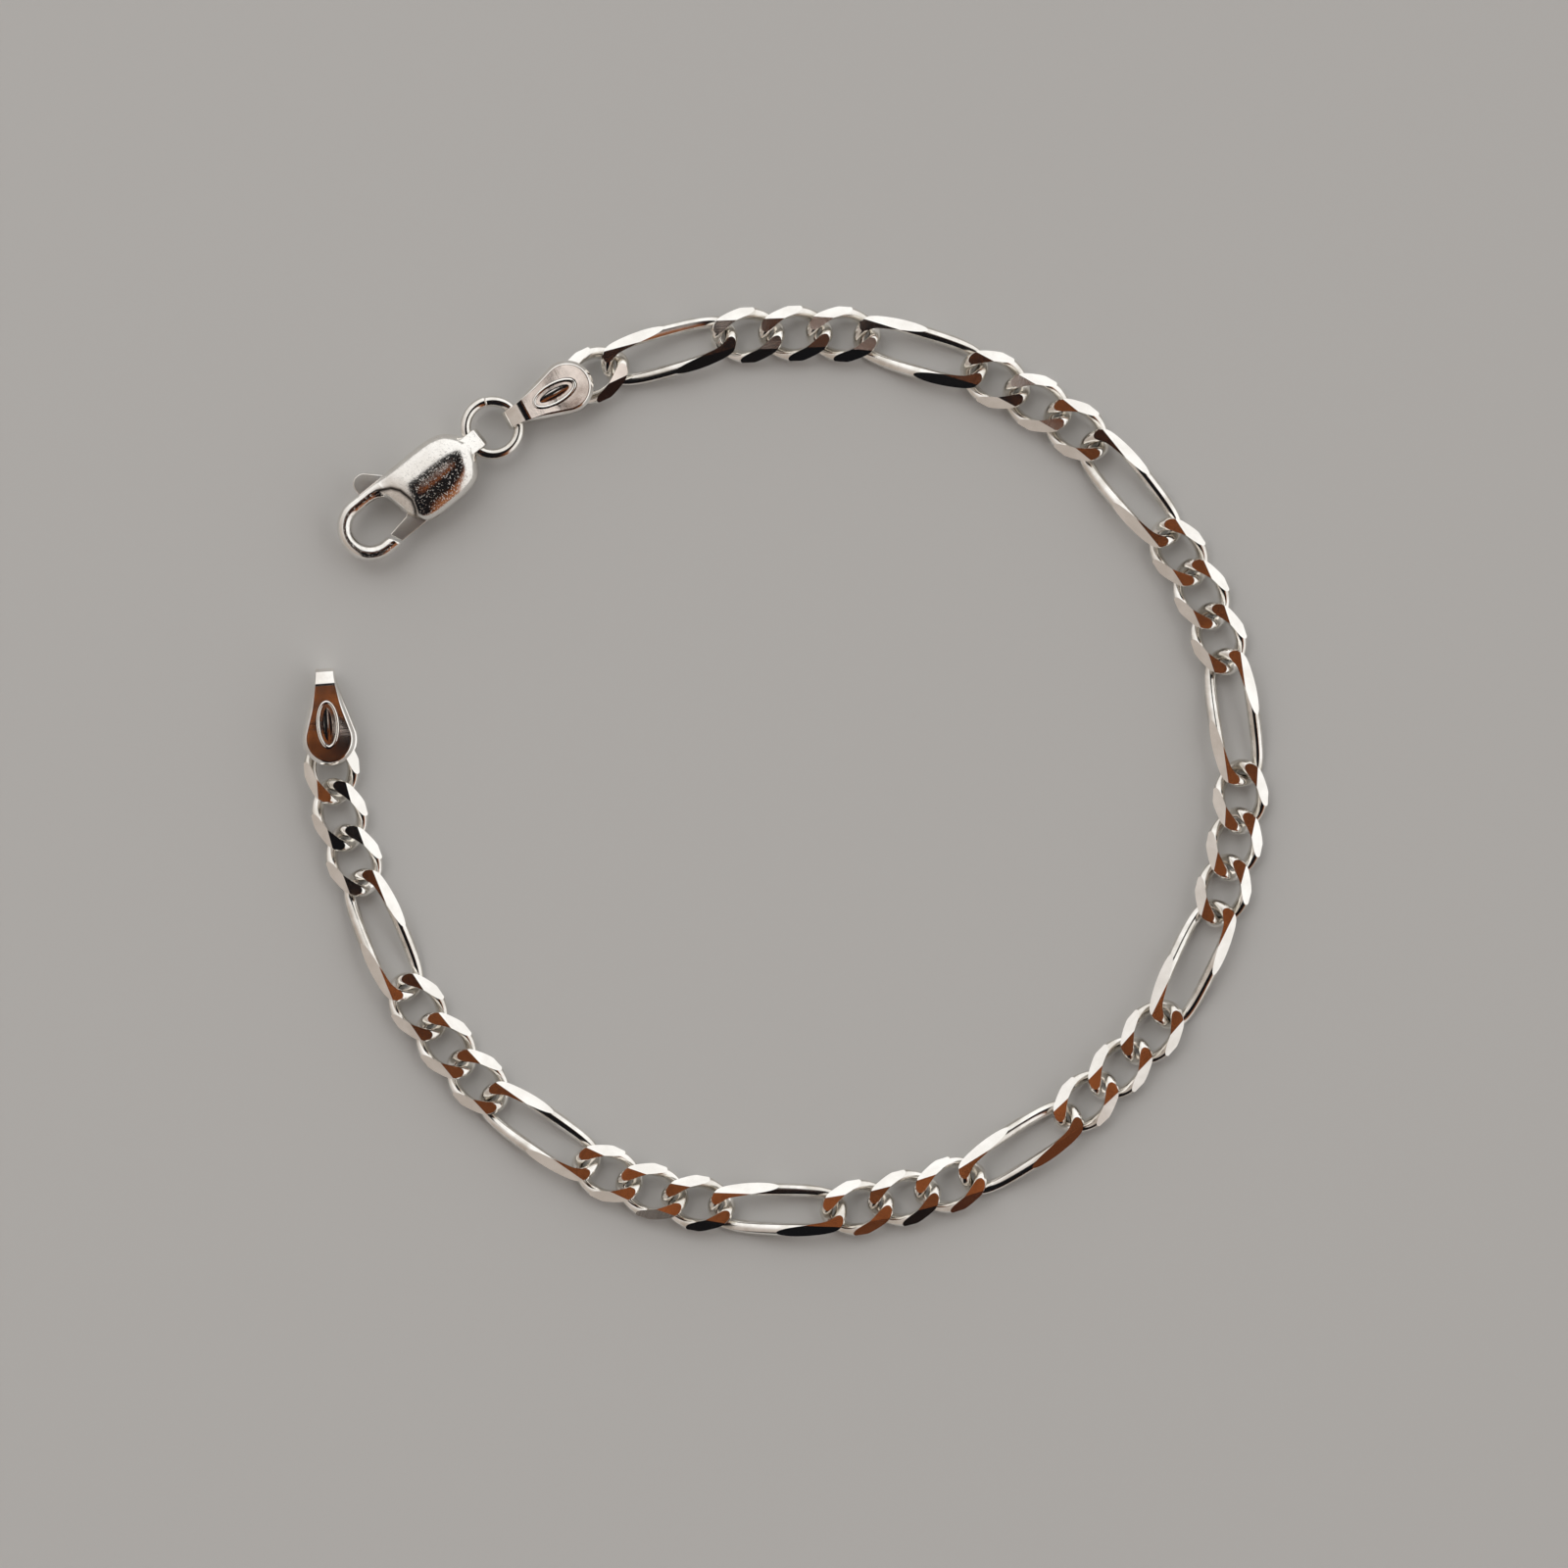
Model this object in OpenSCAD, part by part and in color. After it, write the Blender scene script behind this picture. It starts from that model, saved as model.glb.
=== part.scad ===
// Link bracelet in sterling silver, laid open on a table: a three-and-one chain of twisted links
// with cut faces, a folded tag at each end, a jump ring and a lobster clasp with a sprung lever.
// Millimetres, +Z up. The origin is the middle of the laid chain, on the table.

/* [Chain] */
// Thickness of the wire that the links are bent from
wire_d = 0.92; // [0.8:0.02:1.0]
// Clearance between the bows of two links that hold each other
link_gap = 0.13; // [0.1:0.01:0.2]
// Length that each short link adds to the chain
short_pitch = 3.35; // [3.2:0.05:3.8]
// Length that each long link adds to the chain
long_pitch = 7.87; // [7.0:0.01:8.9]
// Outer width of a link across its two arms
link_w = 4.0; // [3.8:0.05:4.3]
// Length of the curved end of a short link
short_bow = 1.9; // [1.7:0.05:2.0]
// Length of the curved end of a long link
long_bow = 1.27; // [1.1:0.05:1.6]
// How far the arms of a long link draw in at their middle
long_waist = 0.15; // [0:0.05:0.25]
// Twist of a short link at its end
short_twist = 45; // [42:1:50]
// Twist of a long link at its end
long_twist = 38; // [36:1:44]
// Thickness that the chain is cut down to, flat to flat
cut_t = 1.48; // [1.4:0.02:1.6]
// Distance between the two ridges where the flat cut meets the bevels
flat_w = 2.1; // [2.0:0.05:2.6]
// Slope of the bevels
bevel_angle = 40; // [35:1:45]
// Number of long links
long_links = 9; // [7:1:9]
// Number of short links after each long one
short_links = 3; // [2:1:3]
// Angle that links rock by on the table
rock_angle = 1.2; // [0:0.1:1.5]

/* [Tags] */
// Radius of the round end of a tag
leaf_r = 1.84; // [1.6:0.02:2.0]
// Thickness of the strip that a tag is folded from
leaf_t = 0.28; // [0.2:0.02:0.34]
// Distance from the middle of the round end to the middle of the eyelet
tag_reach = 4.16; // [3.8:0.05:4.6]
// Width of a tag at its eyelet
strap_w = 1.34; // [1.1:0.02:1.5]
// Distance from the last joint of the chain to the middle of the round end
tag_cover = 0.35; // [0.2:0.05:0.5]
// Length of the slope from the eyelet to the leaf
neck_l = 0.5; // [0.4:0.05:0.7]
// Length of the soldered web that closes the eyelet
web_l = 0.35; // [0.2:0.05:0.5]
// Clearance between a leaf and the link in the tag
seat_gap = 0.04; // [0.03:0.01:0.06]
// Length of the raised oval on each tag
oval_l = 3.3; // [2.8:0.1:3.5]
// Width of the raised oval
oval_w = 1.5; // [1.3:0.05:1.6]
// Width of the raised line and how far it stands up
line_w = 0.12; // [0.1:0.01:0.16]
// Height of the relief on the tags
relief_h = 0.05; // [0.03:0.01:0.08]
// Distance from the middle of the round end to the middle of the oval
oval_at = 1.0; // [0.8:0.05:1.2]
// Length of the plain raised boss in the oval
boss_l = 2.3; // [1.8:0.1:2.4]
// Width of the plain raised boss
boss_w = 0.6; // [0.4:0.05:0.8]

/* [Jump ring] */
// Outer diameter of the jump ring
ring_d = 4.5; // [4.2:0.1:5.0]
// Thickness of the jump ring's wire
ring_wire = 0.75; // [0.65:0.05:0.8]
// Clearance round the ring's wire in an eyelet
ring_play = 0.08; // [0.06:0.01:0.1]

/* [Clasp] */
// Length of the clasp's body from its rear to the opening
body_l = 6.65; // [6.2:0.05:7.2]
// Width of the clasp's body
body_w = 4.75; // [4.5:0.05:5.0]
// Thickness of the clasp's body at its crown
body_t = 3.1; // [2.9:0.05:3.4]
// Width of the clasp's rear eyelet
eyelet_w = 1.38; // [1.2:0.02:1.5]
// Wall of the rear eyelet
eyelet_wall = 0.36; // [0.3:0.02:0.45]
// Distance from the rear of the body to the middle of the eyelet
eyelet_reach = 0.42; // [0.38:0.02:0.5]
// Length of the straight spine between the body and the hook's bow
spine_l = 2.35; // [2.2:0.05:2.6]
// Radius of the hook's bow along its middle
hook_r = 1.8; // [1.7:0.05:1.9]
// Width of the hook seen from above
hook_w = 1.06; // [0.96:0.02:1.1]
// Thickness of the hook
hook_t = 1.26; // [1.16:0.02:1.4]
// Length of the hook beyond its bow
hook_tip = 0.78; // [0.6:0.02:0.9]
// Thickness of the lever
lever_t = 0.5; // [0.4:0.02:0.56]
// Clearance between the lever and the slot it swings in
lever_gap = 0.1; // [0.08:0.01:0.14]
// Angle that the lever opens by
lever_swing = 25; // [20:1:27]
// Clearance between the lever's tongue and the hook's tip
tongue_gap = 0.2; // [0.1:0.02:0.3]
// Length of the thumb tab beyond the spine
tab_l = 1.06; // [0.9:0.02:1.2]
// Radius of the thumb tab's round end
tab_r = 0.74; // [0.66:0.02:0.78]
// Distance from the front of the body to the middle of the thumb tab's end
tab_ahead = 0.84; // [0.76:0.02:0.9]
// Distance from the front of the body back to the foot of the thumb tab's slope
tab_foot = 0.58; // [0.4:0.02:0.7]
// Wall of the lever round its pin
boss_wall = 0.45; // [0.35:0.05:0.5]
// Diameter of the lever's pin
pin_d = 0.6; // [0.5:0.02:0.7]
// Length of the lever's pin
pin_l = 1.8; // [1.5:0.05:1.9]
// Distance from the front of the body back to the pin
pin_back = 2.0; // [1.9:0.02:2.2]
// Distance from the widest edge of the body in to the pin
pin_in = 1.05; // [1.0:0.02:1.2]
// Radial clearance of the pin in the lever
pin_play = 0.05; // [0.03:0.01:0.07]
// Radial clearance of the pin in the body
pin_seat = 0.02; // [0.01:0.01:0.03]

/* [Hidden] */
// Headings of the laid links in degrees from +X, from the clasp's end to the free end
lay_headings = [
    25, 15, 2, 2, -4, -17, -28, -30, -39, -51, -57, -66, -72, -82, -93, -102, -105, -116, -131,
    -134, -137, -148, -162, -166, -171, -182, -190, -199, -205, -215, -227, -231, -236, -248,
    -250, -255, -266
];
// Headings of the tag, the ring and the clasp at the start of the chain
tag_heading = 29;
ring_heading = 27;
clasp_heading = 38.5;

n_links = 1 + long_links * (1 + short_links);
link_rings = 16;
link_sides = 6;
reach = (wire_d + link_gap) / 2;
arm_mid = (link_w - wire_d) / 2;
half_cut = cut_t / 2;
ridge_y = flat_w / 2;
bevel_reach = ridge_y * sin(bevel_angle) + half_cut * cos(bevel_angle);

leaf_in = half_cut + seat_gap;
leaf_out = leaf_in + leaf_t;
ring_r = (ring_d - ring_wire) / 2;
tag_bore = eyelet_r(strap_w);
tag_loop = tag_bore + leaf_t;
neck_x = tag_reach - neck_l;

link_lift = long_pitch / 2 * sin(rock_angle);
chain_z = half_cut + link_lift;
tag_z = max(leaf_out, tag_loop);
clasp_z = body_t / 2;

// The clasp's own frame has its x from the hook to the ring and its y from the lever to the spine
body_sides = 20;
// Sections of the clasp's body, rear to front: place along the body as a share of its length,
// lever-side and spine-side edges as shares of its width, thickness as a share of its own
body_rows = [
    [0.895, -0.23, 0.21, 0.60],
    [0.84, -0.35, 0.31, 0.70],
    [0.75, -0.45, 0.40, 0.85],
    [0.60, -0.51, 0.455, 0.97],
    [0.39, -0.53, 0.465, 1.00],
    [0.18, -0.52, 0.46, 0.98],
    [0.085, -0.48, 0.46, 0.91],
    [0.022, -0.39, 0.46, 0.81],
    [-0.022, -0.29, 0.46, 0.72],
    [-0.052, -0.16, 0.46, 0.64],
    [-0.075, 0.01, 0.46, 0.57]
];
body_rear = body_rows[0][0] * body_l;
body_front = body_rows[10][0] * body_l;
spine_y = body_rows[10][2] * body_w;
clasp_bore = eyelet_r(eyelet_w);
clasp_loop = clasp_bore + eyelet_wall;
eyelet_x = body_rear + eyelet_reach;
hook_x = body_front - spine_l;
hook_y = spine_y - hook_w / 2 - hook_r;
tip_x = hook_x + hook_tip;
tip_y = hook_y - hook_r;
// Lean of the face where the hook's tip meets the lever
tip_lean = 26;

pin_x = body_front + pin_back;
pin_y = body_rows[4][1] * body_w + pin_in;
pin_hole = pin_d / 2 + pin_play;
boss_r = pin_hole + boss_wall;
slot_h = lever_t + 2 * lever_gap;
slot_front = body_front - tab_ahead - tab_r - lever_gap;
// Corners on the rear of the lever's arm: above the boss, and at the foot of the thumb tab
arm_heel = [pin_x - 0.8 * boss_r, hook_y + 0.6 * hook_r];
tab_heel = [body_front + tab_foot, spine_y];

function two_digits(i) = str(i < 10 ? "0" : "", i);
function link_name(i) = str("link_", two_digits(i));

// How far the curved wire of the ring bows out of a straight eyelet, and the bore that clears it
function eyelet_shift(w) = (ring_r - sqrt(ring_r * ring_r - w * w / 4)) / 2;
function eyelet_r(w) = ring_wire / 2 + eyelet_shift(w) + ring_play;

// Route of the chain: headings, pitches and heights, and the joints that they lead to
function is_long(i) = i % (short_links + 1) == 2 % (short_links + 1);
function pitch(i) = is_long(i) ? long_pitch : short_pitch;
function heading(i) =
    let (s = (i - 1) / (n_links - 1) * (len(lay_headings) - 1), k = min(floor(s), len(lay_headings) - 2))
    lay_headings[k] + (s - k) * (lay_headings[k + 1] - lay_headings[k]);
function joint_z(i) = i < 2 || i > n_links - 2 ? tag_z : chain_z;
function rise(i) = asin((joint_z(i) - joint_z(i - 1)) / pitch(i));
function step(i) = pitch(i) * cos(rise(i)) * [cos(heading(i)), sin(heading(i))];
joints = [for (i = 0, p = [0, 0]; i <= n_links; i = i + 1, p = i <= n_links ? p + step(i) : p) p];
xs = [for (p = joints) p[0]];
ys = [for (p = joints) p[1]];
lay_mid = [(min(xs) + max(xs)) / 2, (min(ys) + max(ys)) / 2];
function joint(i) = concat(joints[i] - lay_mid, [joint_z(i)]);
// Links beside the tags lie level, the others rock a little each its own way
function rock(i) = i < 3 || i > n_links - 2 ? 0 : rock_angle * sin(i * 137);
function nod(i) = i < 3 || i > n_links - 2 ? 0 : rock_angle * 0.5 * sin(i * 211);

// Smooth clip of c to the range -1 to 1, which turns a circle into two bows and two arms
function tanh(a) = (exp(a) - exp(-a)) / (exp(a) + exp(-a));
function clip(c) = tanh(3 * c) / tanh(3);

// Middle line of a link: half length a, straight part s, twist k, waist w, at angle t
function link_point(a, s, k, w, t) =
    let (
        x = (a - s) * cos(t) + s * clip(cos(t)),
        y = (arm_mid - w * pow(1 - pow(x / a, 2), 2)) * sin(t),
        turn = -k * x / a
    )
    [x, y * cos(turn), y * sin(turn)];
// A point moved onto the cut faces where it stands outside them
function cut_flat(p) = [p[0], p[1], max(-half_cut, min(half_cut, p[2]))];
function cut_bevel(p) =
    let (
        over = abs(p[1]) * sin(bevel_angle) + abs(p[2]) * cos(bevel_angle) - bevel_reach,
        back = max(0, over)
    )
    [p[0], p[1] - sign(p[1]) * back * sin(bevel_angle), p[2] - sign(p[2]) * back * cos(bevel_angle)];
function unit(v) = v / norm(v);
function link_section(a, s, k, w, t) =
    let (
        p = link_point(a, s, k, w, t),
        ahead = unit(link_point(a, s, k, w, t + 0.5) - link_point(a, s, k, w, t - 0.5)),
        turn = -k * p[0] / a,
        side = unit(cross([0, -sin(turn), cos(turn)], ahead)),
        up = cross(ahead, side)
    )
    [
        for (j = [0 : link_sides - 1])
            let (b = 360 * j / link_sides)
            cut_bevel(cut_flat(p + wire_d / 2 * (cos(b) * side + sin(b) * up)))
    ];

// Faces of a skin over n rings of m points, closed on itself or capped at both ends
function skin_faces(n, m, closed) = concat(
    [
        for (i = [0 : closed ? n - 1 : n - 2], j = [0 : m - 1])
            let (i2 = (i + 1) % n, j2 = (j + 1) % m)
            each [
                [i * m + j, i2 * m + j, i2 * m + j2],
                [i * m + j, i2 * m + j2, i * m + j2]
            ]
    ],
    closed ? [] : [[for (j = [0 : m - 1]) j], [for (j = [m - 1 : -1 : 0]) (n - 1) * m + j]]
);

module link_solid(long) {
    a = (long ? long_pitch : short_pitch) / 2 + reach;
    s = a - (long ? long_bow : short_bow);
    k = long ? long_twist : short_twist;
    w = long ? long_waist : 0;
    sections = [for (i = [0 : link_rings - 1]) link_section(a, s, k, w, 360 * i / link_rings)];
    polyhedron([for (r = sections) each r], skin_faces(link_rings, link_sides, true), convexity = 6);
}

module chain_link(i) {
    color("silver")
    translate((joint(i - 1) + joint(i)) / 2)
    rotate([rock(i), nod(i) - rise(i), heading(i)])
    link_solid(is_long(i));
}

// Outline of a leaf: round end, straight flanks and the strap
module leaf_outline() {
    flank = atan2(strap_w / 2, neck_x) + acos(leaf_r / norm([neck_x, strap_w / 2]));
    circle(r = leaf_r, $fn = 64);
    polygon([
        [leaf_r * cos(flank), leaf_r * sin(flank)],
        [leaf_r * cos(flank), -leaf_r * sin(flank)],
        [neck_x, -strap_w / 2],
        [neck_x, strap_w / 2]
    ]);
}

// Oval of a length and width, lying on the leaf
module oval_at_leaf(l, w) {
    translate([oval_at, 0]) polygon([for (t = [0 : 15 : 345]) [cos(t) * l / 2, sin(t) * w / 2]]);
}

// Raised oval line round a plain raised boss
module tag_relief() {
    linear_extrude(relief_h) {
        difference() {
            oval_at_leaf(oval_l, oval_w);
            oval_at_leaf(oval_l - 2 * line_w, oval_w - 2 * line_w);
        }
        oval_at_leaf(boss_l, boss_w);
    }
}

// A tag with its round end at the origin and its eyelet towards +X
module tag() {
    difference() {
        union() {
            for (side = [0, 1]) mirror([0, 0, side])
                translate([0, 0, leaf_in]) linear_extrude(leaf_t) leaf_outline();
            rotate([90, 0, 0]) linear_extrude(strap_w, center = true) {
                translate([tag_reach, 0]) circle(r = tag_loop, $fn = 48);
                polygon([
                    [neck_x - web_l, -leaf_out], [neck_x, -leaf_out], [tag_reach, -tag_loop],
                    [tag_reach, tag_loop], [neck_x, leaf_out], [neck_x - web_l, leaf_out]
                ]);
            }
            translate([0, 0, leaf_out]) tag_relief();
        }
        translate([tag_reach, 0, 0]) rotate([90, 0, 0])
        cylinder(r = tag_bore, h = 2 * strap_w, center = true, $fn = 48);
    }
}

function ahead_of(p, angle, d) = p + d * [cos(angle), sin(angle), 0];
start_tag_at = ahead_of(joint(0), tag_heading, -tag_cover);
end_tag_at = ahead_of(joint(n_links), heading(n_links), tag_cover);
start_bore_at = ahead_of(start_tag_at, tag_heading, -tag_reach);
// The ring leans from the clasp's height down to the tag's
ring_tilt = asin((clasp_z - tag_z) / (2 * ring_r));
ring_rise = [0, 0, (clasp_z - tag_z) / 2];
tag_seat = (ring_r - eyelet_shift(strap_w)) * cos(ring_tilt);
clasp_seat = (ring_r - eyelet_shift(eyelet_w)) * cos(ring_tilt);
ring_at = ahead_of(start_bore_at, ring_heading, -tag_seat) + ring_rise;
clasp_bore_at = ahead_of(ring_at, clasp_heading, -clasp_seat) + ring_rise;

module start_tag() {
    color("silver") translate(start_tag_at) rotate([0, 0, tag_heading + 180]) tag();
}

module end_tag() {
    color("silver") translate(end_tag_at) rotate([0, 0, heading(n_links)]) tag();
}

module jump_ring() {
    color("gainsboro") translate(ring_at)
    rotate([0, 0, (ring_heading + clasp_heading) / 2]) rotate([0, ring_tilt, 0])
    rotate_extrude($fn = 64) translate([ring_r, 0]) circle(d = ring_wire, $fn = 24);
}

// Puts the clasp's own frame so that its rear eyelet holds the ring
module clasp_place() {
    translate(clasp_bore_at) rotate([0, 0, clasp_heading]) translate([-eyelet_x, 0, 0]) children();
}

// Section of the body or hook across a path that heads along the angle
function clasp_section(x, y, angle, half_w, half_t) = [
    for (j = [0 : body_sides - 1])
        let (b = 360 * j / body_sides, across = half_w * cos(b))
        [x - sin(angle) * across, y + cos(angle) * across, half_t * sin(b)]
];

// One skin from the rear of the body along the spine and round the hook to its tip
module body_and_hook() {
    body = [
        for (r = body_rows)
            let (mid = (r[1] + r[2]) / 2 * body_w, half = (r[2] - r[1]) / 2 * body_w)
            clasp_section(r[0] * body_l, mid, 180, half, r[3] * body_t / 2)
    ];
    spine = [
        for (f = [0.25, 0.55, 1])
            clasp_section(body_front - f * spine_l, hook_y + hook_r, 180, hook_w / 2, hook_t / 2)
    ];
    bow = [
        for (b = [110 : 20 : 270])
            let (x = hook_x + hook_r * cos(b), y = hook_y + hook_r * sin(b))
            clasp_section(x, y, b + 90, hook_w / 2, hook_t / 2)
    ];
    tip = [clasp_section(tip_x, tip_y, 360 + tip_lean, hook_w / 2 / cos(tip_lean), hook_t / 2)];
    rows = concat(body, spine, bow, tip);
    polyhedron([for (r = rows) each r], skin_faces(len(rows), body_sides, false), convexity = 6);
}

// A point of the lever when it is open, clear of it by the gap
function opened(p) =
    let (dx = p[0] - pin_x, dy = p[1] - pin_y)
    [
        pin_x + dx * cos(lever_swing) + dy * sin(lever_swing) + lever_gap,
        pin_y - dx * sin(lever_swing) + dy * cos(lever_swing)
    ];

// Space that the lever swings through, open to the spine, the front and the lever's side
module slot_outline() {
    side = 2 * body_w;
    translate([pin_x, pin_y]) circle(r = boss_r + lever_gap, $fn = 48);
    polygon([
        [slot_front, side], [opened(tab_heel)[0], side], opened(arm_heel),
        [pin_x + boss_r + lever_gap, pin_y], [pin_x, pin_y], [pin_x, -side], [body_front, -side],
        [body_front, tip_y + hook_w], [slot_front, tip_y + hook_w]
    ]);
}

module clasp_body() {
    color("silver") clasp_place() difference() {
        union() {
            body_and_hook();
            translate([eyelet_x, 0, 0]) rotate([90, 0, 0])
            cylinder(r = clasp_loop, h = eyelet_w, center = true, $fn = 48);
        }
        translate([eyelet_x, 0, 0]) rotate([90, 0, 0])
        cylinder(r = clasp_bore, h = body_w, center = true, $fn = 48);
        linear_extrude(slot_h, center = true) slot_outline();
        translate([pin_x, pin_y, 0])
        cylinder(r = pin_d / 2 + pin_seat, h = pin_l + 2 * pin_seat, center = true, $fn = 32);
    }
}

// Front of the lever's tongue, along the slanted face of the hook's tip at height v above its middle
function tongue_front(v) = [tip_x - v * tan(tip_lean) + tongue_gap, tip_y + v];

// The lever from above: tongue to the hook's tip, boss round the pin, arm and thumb tab
module lever_outline() {
    tab_at = [body_front - tab_ahead, spine_y + tab_l - tab_r];
    translate([pin_x, pin_y]) circle(r = boss_r, $fn = 48);
    polygon([
        tongue_front(-0.32 * hook_w), [pin_x, pin_y - boss_r],
        [pin_x + 0.8 * boss_r, pin_y + 0.6 * boss_r], arm_heel, tab_heel,
        tab_at + tab_r * [cos(60), sin(60)], tab_at, tab_at - [tab_r, 0],
        [tab_at[0] - tab_r, spine_y - hook_w / 2], [body_front, spine_y - hook_w],
        [body_front + 0.3 * hook_w, hook_y], [body_front + 0.2 * hook_w, tip_y + 0.8 * hook_w],
        tongue_front(0.5 * hook_w)
    ]);
    translate(tab_at) circle(r = tab_r, $fn = 32);
}

module clasp_lever() {
    color("gainsboro") clasp_place() difference() {
        linear_extrude(lever_t, center = true) lever_outline();
        translate([pin_x, pin_y, 0]) cylinder(r = pin_hole, h = 2 * lever_t, center = true, $fn = 32);
    }
}

module lever_pin() {
    color("silver") clasp_place() translate([pin_x, pin_y, 0])
    cylinder(d = pin_d, h = pin_l, center = true, $fn = 32);
}

for (i = [1 : n_links]) chain_link(i);
start_tag();
end_tag();
jump_ring();
clasp_body();
clasp_lever();
lever_pin();
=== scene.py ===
"""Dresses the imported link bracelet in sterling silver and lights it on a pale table.

The bracelet is a three-and-one chain of twisted links with cut faces, a folded tag at each end,
a jump ring and a lobster clasp with a sprung lever. Shapes are worked out in millimetres, each in
its piece's own axes, and go into the meshes in metres at the place that the laid chain gives them.
"""
import logging
import math
from dataclasses import dataclass
from enum import Enum

import bmesh
import bpy
import numpy as np
from mathutils import Matrix, Vector


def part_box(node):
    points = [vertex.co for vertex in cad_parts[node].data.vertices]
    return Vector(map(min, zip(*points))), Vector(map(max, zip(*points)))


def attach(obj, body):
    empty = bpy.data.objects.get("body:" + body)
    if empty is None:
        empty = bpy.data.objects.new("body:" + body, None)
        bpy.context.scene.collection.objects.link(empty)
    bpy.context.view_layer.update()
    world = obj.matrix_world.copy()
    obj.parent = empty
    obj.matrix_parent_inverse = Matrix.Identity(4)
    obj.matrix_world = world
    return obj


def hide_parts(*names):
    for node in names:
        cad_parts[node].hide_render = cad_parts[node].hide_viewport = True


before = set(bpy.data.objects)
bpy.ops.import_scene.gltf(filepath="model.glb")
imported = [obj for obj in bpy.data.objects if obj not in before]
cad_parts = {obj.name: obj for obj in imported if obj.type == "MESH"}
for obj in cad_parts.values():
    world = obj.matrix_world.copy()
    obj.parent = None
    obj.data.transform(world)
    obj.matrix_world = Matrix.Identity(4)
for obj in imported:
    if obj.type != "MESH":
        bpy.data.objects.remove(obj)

MM = 0.001
# Tips a plan outline up onto its edge: what was its y becomes height
ON_EDGE = Matrix(((1, 0, 0, 0), (0, 0, -1, 0), (0, 1, 0, 0), (0, 0, 0, 1)))
LOG = logging.getLogger("bracelet")


class Body(Enum):
    """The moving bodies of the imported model."""

    BRACELET = "bracelet"
    LEVER = "lever"


class Cut(Enum):
    """Kinds of face on a link, in the order of its material slots."""

    WIRE = 0
    FLAT = 1
    BEVEL = 2


# Numbers and points


def unit(vectors: np.ndarray) -> np.ndarray:
    """Vectors divided by their own lengths."""
    return vectors / np.linalg.norm(vectors, axis=-1, keepdims=True)


def smooth_step(share: np.ndarray) -> np.ndarray:
    """Rises smoothly from 0 to 1 as the share goes from 0 to 1."""
    t = np.clip(share, 0.0, 1.0)
    return t * t * (3.0 - 2.0 * t)


def axes_turned(x_deg: float, y_deg: float, z_deg: float) -> np.ndarray:
    """Turns about X, then Y, then Z, as one matrix.

    Args:
        x_deg: Turn about X in degrees.
        y_deg: Turn about Y in degrees.
        z_deg: Turn about Z in degrees.

    Returns:
        The 3 by 3 matrix whose columns are the turned axes.
    """
    x, y, z = np.radians([x_deg, y_deg, z_deg])
    turn_x = np.array([[1, 0, 0], [0, math.cos(x), -math.sin(x)], [0, math.sin(x), math.cos(x)]])
    turn_y = np.array([[math.cos(y), 0, math.sin(y)], [0, 1, 0], [-math.sin(y), 0, math.cos(y)]])
    turn_z = np.array([[math.cos(z), -math.sin(z), 0], [math.sin(z), math.cos(z), 0], [0, 0, 1]])
    return turn_z @ turn_y @ turn_x


def along_heading(point: np.ndarray, heading: float, distance: float) -> np.ndarray:
    """The point moved level by a distance along a heading in degrees."""
    turn = math.radians(heading)
    return point + distance * np.array([math.cos(turn), math.sin(turn), 0.0])


def curve_through(rows: np.ndarray, count: int) -> np.ndarray:
    """Smooth curve through rows of numbers, evenly spaced along their chords.

    Between two rows it is a cubic whose slope at each row is that of the chord across its neighbours.

    Args:
        rows: Points of any number of coordinates, one a row.
        count: Number of points wanted.

    Returns:
        The count points, the first and last of them the first and last rows.
    """
    chord = np.concatenate([[0.0], np.cumsum(np.linalg.norm(np.diff(rows, axis=0), axis=1))])
    slope = np.empty_like(rows)
    slope[1:-1] = (rows[2:] - rows[:-2]) / (chord[2:] - chord[:-2])[:, None]
    slope[0] = (rows[1] - rows[0]) / (chord[1] - chord[0])
    slope[-1] = (rows[-1] - rows[-2]) / (chord[-1] - chord[-2])
    at = np.linspace(0.0, chord[-1], count)
    k = np.clip(np.searchsorted(chord, at, side="right") - 1, 0, len(rows) - 2)
    span = (chord[k + 1] - chord[k])[:, None]
    t = (at - chord[k])[:, None] / span
    near = (1 + 2 * t) * (1 - t) ** 2 * rows[k] + t * (1 - t) ** 2 * span * slope[k]
    far = t * t * (3 - 2 * t) * rows[k + 1] + t * t * (t - 1) * span * slope[k + 1]
    return near + far


def rounded_outline(corners: list[tuple[float, float, float]], steps: int = 10) -> np.ndarray:
    """Closed outline with a round at each corner.

    Each round is the arc of the corner's radius that touches both of its sides.

    Args:
        corners: Place and radius of each corner, in order round the outline.
        steps: Number of points on each arc.

    Returns:
        Points of the outline, one a row.
    """
    table = np.array(corners)
    here = table[:, None, :2]
    back = unit(np.roll(table[:, :2], 1, axis=0) - table[:, :2])[:, None]
    ahead = unit(np.roll(table[:, :2], -1, axis=0) - table[:, :2])[:, None]
    half = np.arccos(np.clip((back * ahead).sum(-1), -1, 1))[..., None] / 2
    radius = table[:, 2][:, None, None]
    centre = here + unit(back + ahead) * radius / np.sin(half)
    touch = here + back * radius / np.tan(half) - centre
    sign = np.sign(back[..., 0] * ahead[..., 1] - back[..., 1] * ahead[..., 0])[..., None]
    swing = sign * -(math.pi - 2 * half) * np.linspace(0, 1, steps)[None, :, None]
    x = touch[..., :1] * np.cos(swing) - touch[..., 1:] * np.sin(swing)
    y = touch[..., :1] * np.sin(swing) + touch[..., 1:] * np.cos(swing)
    return (centre + np.concatenate([x, y], -1)).reshape(-1, 2)


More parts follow.
